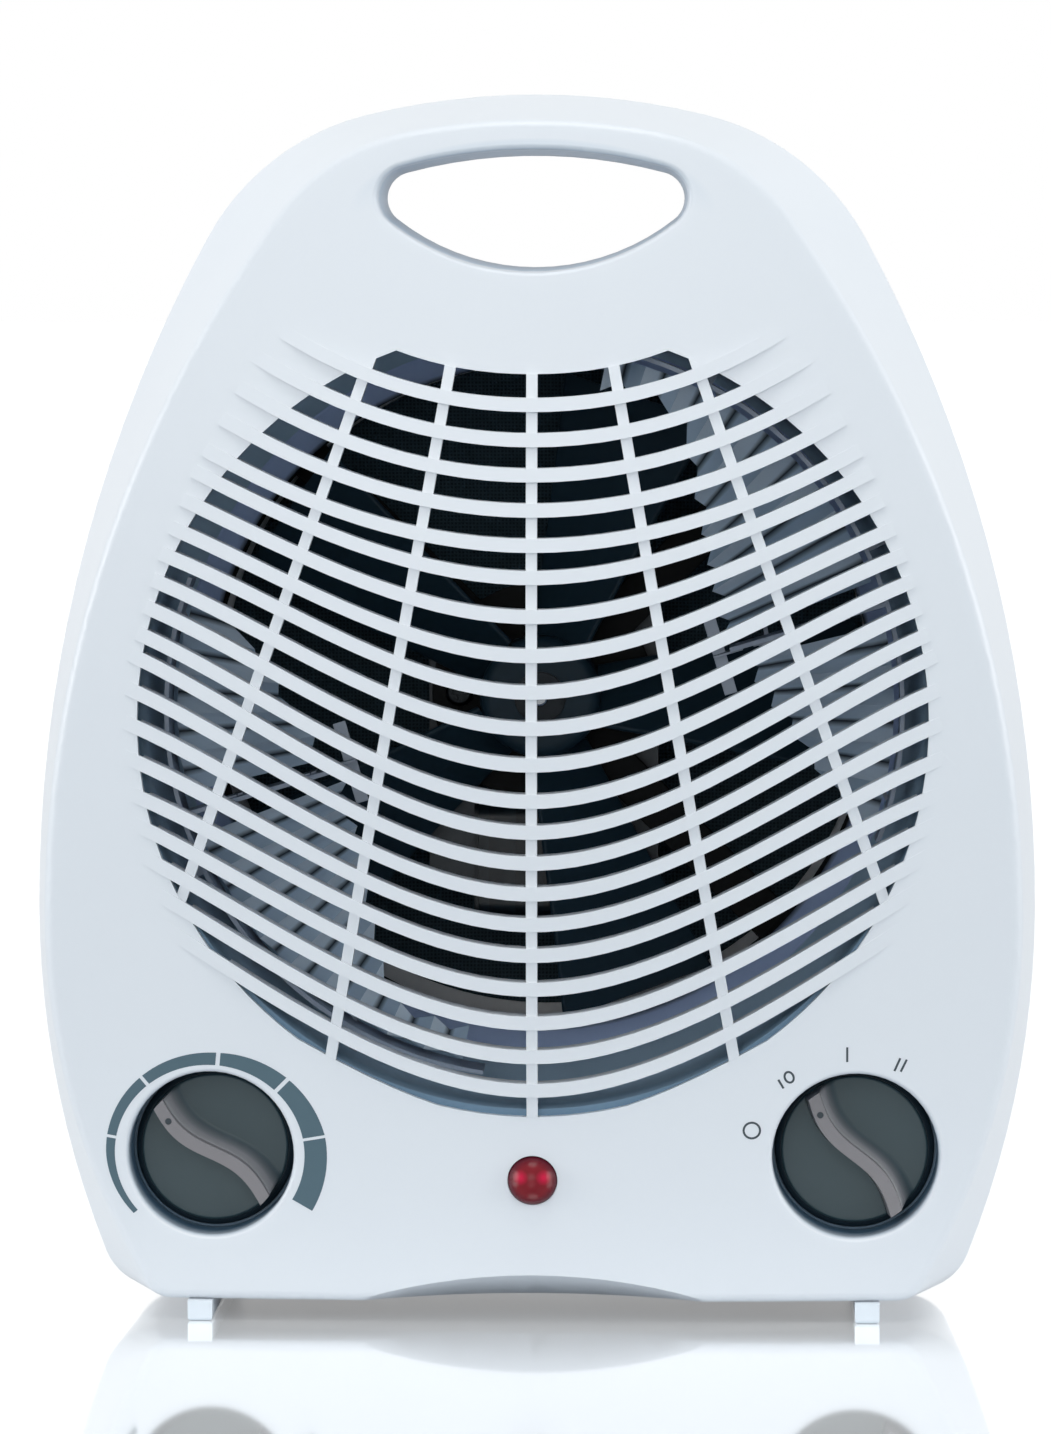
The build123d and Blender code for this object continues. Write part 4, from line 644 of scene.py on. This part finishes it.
def selector_marks(axis_x):
    """O, IO, I and II round the selector's knob."""
    form = bmesh.new()
    for ring in selector_rings:
        print_strip(form, ring_rows(axis_x, *ring), closed=True)
    for start, end in selector_strokes:
        print_strip(form, bar_rows(axis_x, start, end))
    return form


housing = nodes["front_cover"]["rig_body"]
piece_of("thermostat_scale", dial_scale(-knob_offset), ink_slate, housing)
piece_of("selector_figures", selector_marks(knob_offset), ink_dark, housing)


# Knobs: the skirt, painted dark as shade, the hollow flank beside each grip, painted with light and shade,
# and the dark dot at the bottom of its pit
def sway(along):
    """How far the grip's wavy middle line lies to the side."""
    return -grip_wave * math.sin(2 * math.pi * along / grip_wave_length)


def rim_reach(across):
    """How far along the grip a line beside its middle line stays on the disc."""
    radius = disc_radius - flank_end
    reach = radius
    for _ in range(12):
        reach = math.sqrt(max(radius**2 - (across + sway(reach)) ** 2, 0))
    return reach


def knob_matrix(name):
    """From a knob's own frame, pointer up, to its place: the disc's face is at zero depth."""
    side = -1 if name == "thermostat" else 1
    place = Matrix.Translation(Vector((side * knob_offset, disc_face_y, knob_height)) * MM)
    return place @ Matrix.Rotation(math.radians(-knob_tilts[name]), 4, "Y")


def flank(name):
    """The concave flank on one side of a grip, from under its crest down to the disc."""
    form = bmesh.new()
    steps, lanes = 40, 14
    grid = []
    for k in range(lanes + 1):
        share = k / lanes
        lane = []
        for i in range(steps + 1):
            across = grip_top_width / 2 - flank_tuck + share * (flank_widths[0] + flank_tuck)
            reach = rim_reach(across)
            along = -reach + 2 * reach * i / steps
            wide = share * (flank_widths[1] - flank_widths[0]) * (along / disc_radius) ** 2
            height = (grip_height - flank_drop) * (1 - share) ** flank_curve
            if k == lanes:
                height -= flank_sink
            x, z = across + wide + sway(along), along
            length = math.hypot(x, z)
            limit = disc_radius - flank_rim
            if length > limit:
                x, z = x * limit / length, z * limit / length
            lane.append(form.verts.new(Vector((x, -height, z)) * MM))
        grid.append(lane)
    for here, there in zip(grid, grid[1:]):
        for i in range(steps):
            form.faces.new((here[i], there[i], there[i + 1], here[i + 1]))
    for end in (0, steps):
        feet = [Vector((lane[end].co.x, flank_sink * MM, lane[end].co.z)) for lane in grid]
        base = [form.verts.new(foot) for foot in feet]
        for k in range(lanes):
            form.faces.new((grid[k][end], grid[k + 1][end], base[k + 1], base[k]))
    form.transform(knob_matrix(name))
    return form


def pointer_dot(name):
    """The dark paint at the bottom of a pointer's pit."""
    form = bmesh.new()
    face = Matrix.Translation(Vector((sway(dot_circle), dot_depth - grip_height, dot_circle)) * MM)
    face = face @ Matrix.Rotation(math.radians(90), 4, "X")
    bmesh.ops.create_circle(form, cap_ends=True, segments=24, radius=dot_radius * MM, matrix=face)
    form.transform(knob_matrix(name))
    return form


def skirt(name):
    """The dark skirt round a knob's disc, deep in its well."""
    form = bmesh.new()
    corners = [form.verts.new(Vector((radius, y - disc_face_y, 0)) * MM) for radius, y in skirt_profile]
    loop = [form.edges.new(pair) for pair in zip(corners, corners[1:] + corners[:1])]
    bmesh.ops.spin(
        form,
        geom=corners + loop,
        cent=(0, 0, 0),
        axis=(0, 1, 0),
        angle=math.tau,
        steps=96,
        use_merge=True,
        use_normal_flip=False,
        use_duplicate=False,
    )
    form.transform(knob_matrix(name))
    return form


for name in knob_tilts:
    body = nodes[name + "_knob"]["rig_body"]
    piece_of(name + "_skirt", skirt(name), skirt_abs_painted_shade, body)
    piece_of(name + "_flank", flank(name), grip_flank_painted, body)
    piece_of(name + "_dot", pointer_dot(name), ink_dark, body)


def direction(azimuth, elevation):
    """The direction in which something stands: azimuth 0 is in front and 90 on the +X side, in degrees."""
    turn, lift = math.radians(azimuth), math.radians(elevation)
    return Vector((math.sin(turn) * math.cos(lift), -math.cos(turn) * math.cos(lift), math.sin(lift)))


# Camera: as the photograph was taken
back = direction(camera_azimuth, camera_elevation)
camera = bpy.data.objects.new("camera", bpy.data.cameras.new("camera"))
bpy.context.scene.collection.objects.link(camera)
camera.location = outlet_middle + back * camera_distance
camera.rotation_euler = (-back).to_track_quat("-Z", "Y").to_euler()
camera.data.sensor_width = 36
camera.data.lens = 36 * camera_distance * pixels_per_metre / photo_height
camera.data.shift_x = (photo_width / 2 - outlet_pixel[0]) / photo_height
camera.data.shift_y = (outlet_pixel[1] - photo_height / 2) / photo_height
camera.data.clip_start = 0.05
camera.data.clip_end = 50
bpy.context.scene.camera = camera

# Floor: a glossy white sheet, whose mirror ends a little in front of the heater. To the camera it is white
# where nothing shades it or shows in it.
floor_mesh = bpy.data.meshes.new("floor")
form = bmesh.new()
bmesh.ops.create_grid(form, x_segments=1, y_segments=1, size=30)
form.to_mesh(floor_mesh)
form.free()
floor = bpy.data.objects.new("floor", floor_mesh)
bpy.context.scene.collection.objects.link(floor)
floor_white, tree = new_material("floor_white_gloss")
path = add_node(tree, "ShaderNodeLightPath").outputs
depth = add_node(tree, "ShaderNodeSeparateXYZ", {"Vector": object_place(tree)}).outputs["Y"]
white = running(tree, depth, mirror_ends, (*[far_white] * 3, 1), (*[near_white] * 3, 1))
bounce = running(tree, depth, bounce_ends, far_bounce, near_bounce)
colour = running(tree, path["Is Diffuse Ray"], (0, 1), white, bounce)
matt = add_node(tree, "ShaderNodeBsdfDiffuse", {"Color": colour}).outputs["BSDF"]
inputs = {"Color": (1, 1, 1, 1), "Roughness": floor_blur}
mirror = add_node(tree, "ShaderNodeBsdfGlossy", inputs).outputs["BSDF"]
inputs = {"Value": depth, "From Min": mirror_ends[0], "From Max": mirror_ends[1]}
near = add_node(tree, "ShaderNodeMapRange", inputs).outputs["Result"]
inputs = {"Value": path["Is Diffuse Ray"], "To Min": floor_mirror, "To Max": 0.0}
seen = add_node(tree, "ShaderNodeMapRange", inputs).outputs["Result"]
shine = add_node(tree, "ShaderNodeMath", {0: near, 1: seen}, operation="MULTIPLY").outputs[0]
mixed = add_node(tree, "ShaderNodeMixShader", {"Fac": shine, 1: matt, 2: mirror}).outputs["Shader"]
inputs = {0: path["Is Camera Ray"], 1: floor_lift}
lift = add_node(tree, "ShaderNodeMath", inputs, operation="MULTIPLY").outputs[0]
inputs = {"Color": (1, 1, 1, 1), "Strength": lift}
glow = add_node(tree, "ShaderNodeEmission", inputs).outputs["Emission"]
total = add_node(tree, "ShaderNodeAddShader", {0: mixed, 1: glow}).outputs["Shader"]
add_node(tree, "ShaderNodeOutputMaterial", {"Surface": total})
floor_mesh.materials.append(floor_white)

# World: a plain cool light, and white to the camera and in reflections
world = bpy.data.worlds.new("studio")
world.use_nodes = True
tree = world.node_tree
tree.nodes.clear()
path = add_node(tree, "ShaderNodeLightPath").outputs
inputs = {0: path["Is Camera Ray"], 1: path["Is Glossy Ray"]}
seen = add_node(tree, "ShaderNodeMath", inputs, operation="MAXIMUM").outputs[0]
inputs = {0: seen, 1: path["Is Transmission Ray"]}
seen = add_node(tree, "ShaderNodeMath", inputs, operation="MAXIMUM").outputs[0]
ray = add_node(tree, "ShaderNodeTexCoord").outputs["Generated"]
depth = add_node(tree, "ShaderNodeSeparateXYZ", {"Vector": ray}).outputs["Y"]
inputs = {"Value": depth, "From Min": -1.0, "To Min": sky_front, "To Max": sky_back}
strength = add_node(tree, "ShaderNodeMapRange", inputs).outputs["Result"]
inputs = {"Color": linear(sky_colour), "Strength": strength}
ambient = add_node(tree, "ShaderNodeBackground", inputs).outputs["Background"]
inputs = {"Color": (1, 1, 1, 1), "Strength": 1.0}
backdrop = add_node(tree, "ShaderNodeBackground", inputs).outputs["Background"]
mixed = add_node(tree, "ShaderNodeMixShader", {"Fac": seen, 1: ambient, 2: backdrop}).outputs["Shader"]
add_node(tree, "ShaderNodeOutputWorld", {"Surface": mixed})
bpy.context.scene.world = world
bpy.context.scene.view_settings.view_transform = "Standard"


def far_lamp(name, azimuth, elevation, strength, spread):
    """A large far lamp in that direction."""
    data = bpy.data.lights.new(name, "SUN")
    data.energy = strength
    data.color = linear(lamp_colour)[:3]
    data.angle = math.radians(spread)
    lamp = bpy.data.objects.new(name, data)
    bpy.context.scene.collection.objects.link(lamp)
    lamp.rotation_euler = direction(azimuth, elevation).to_track_quat("Z", "Y").to_euler()


for lamp in studio_lamps:
    far_lamp(*lamp)
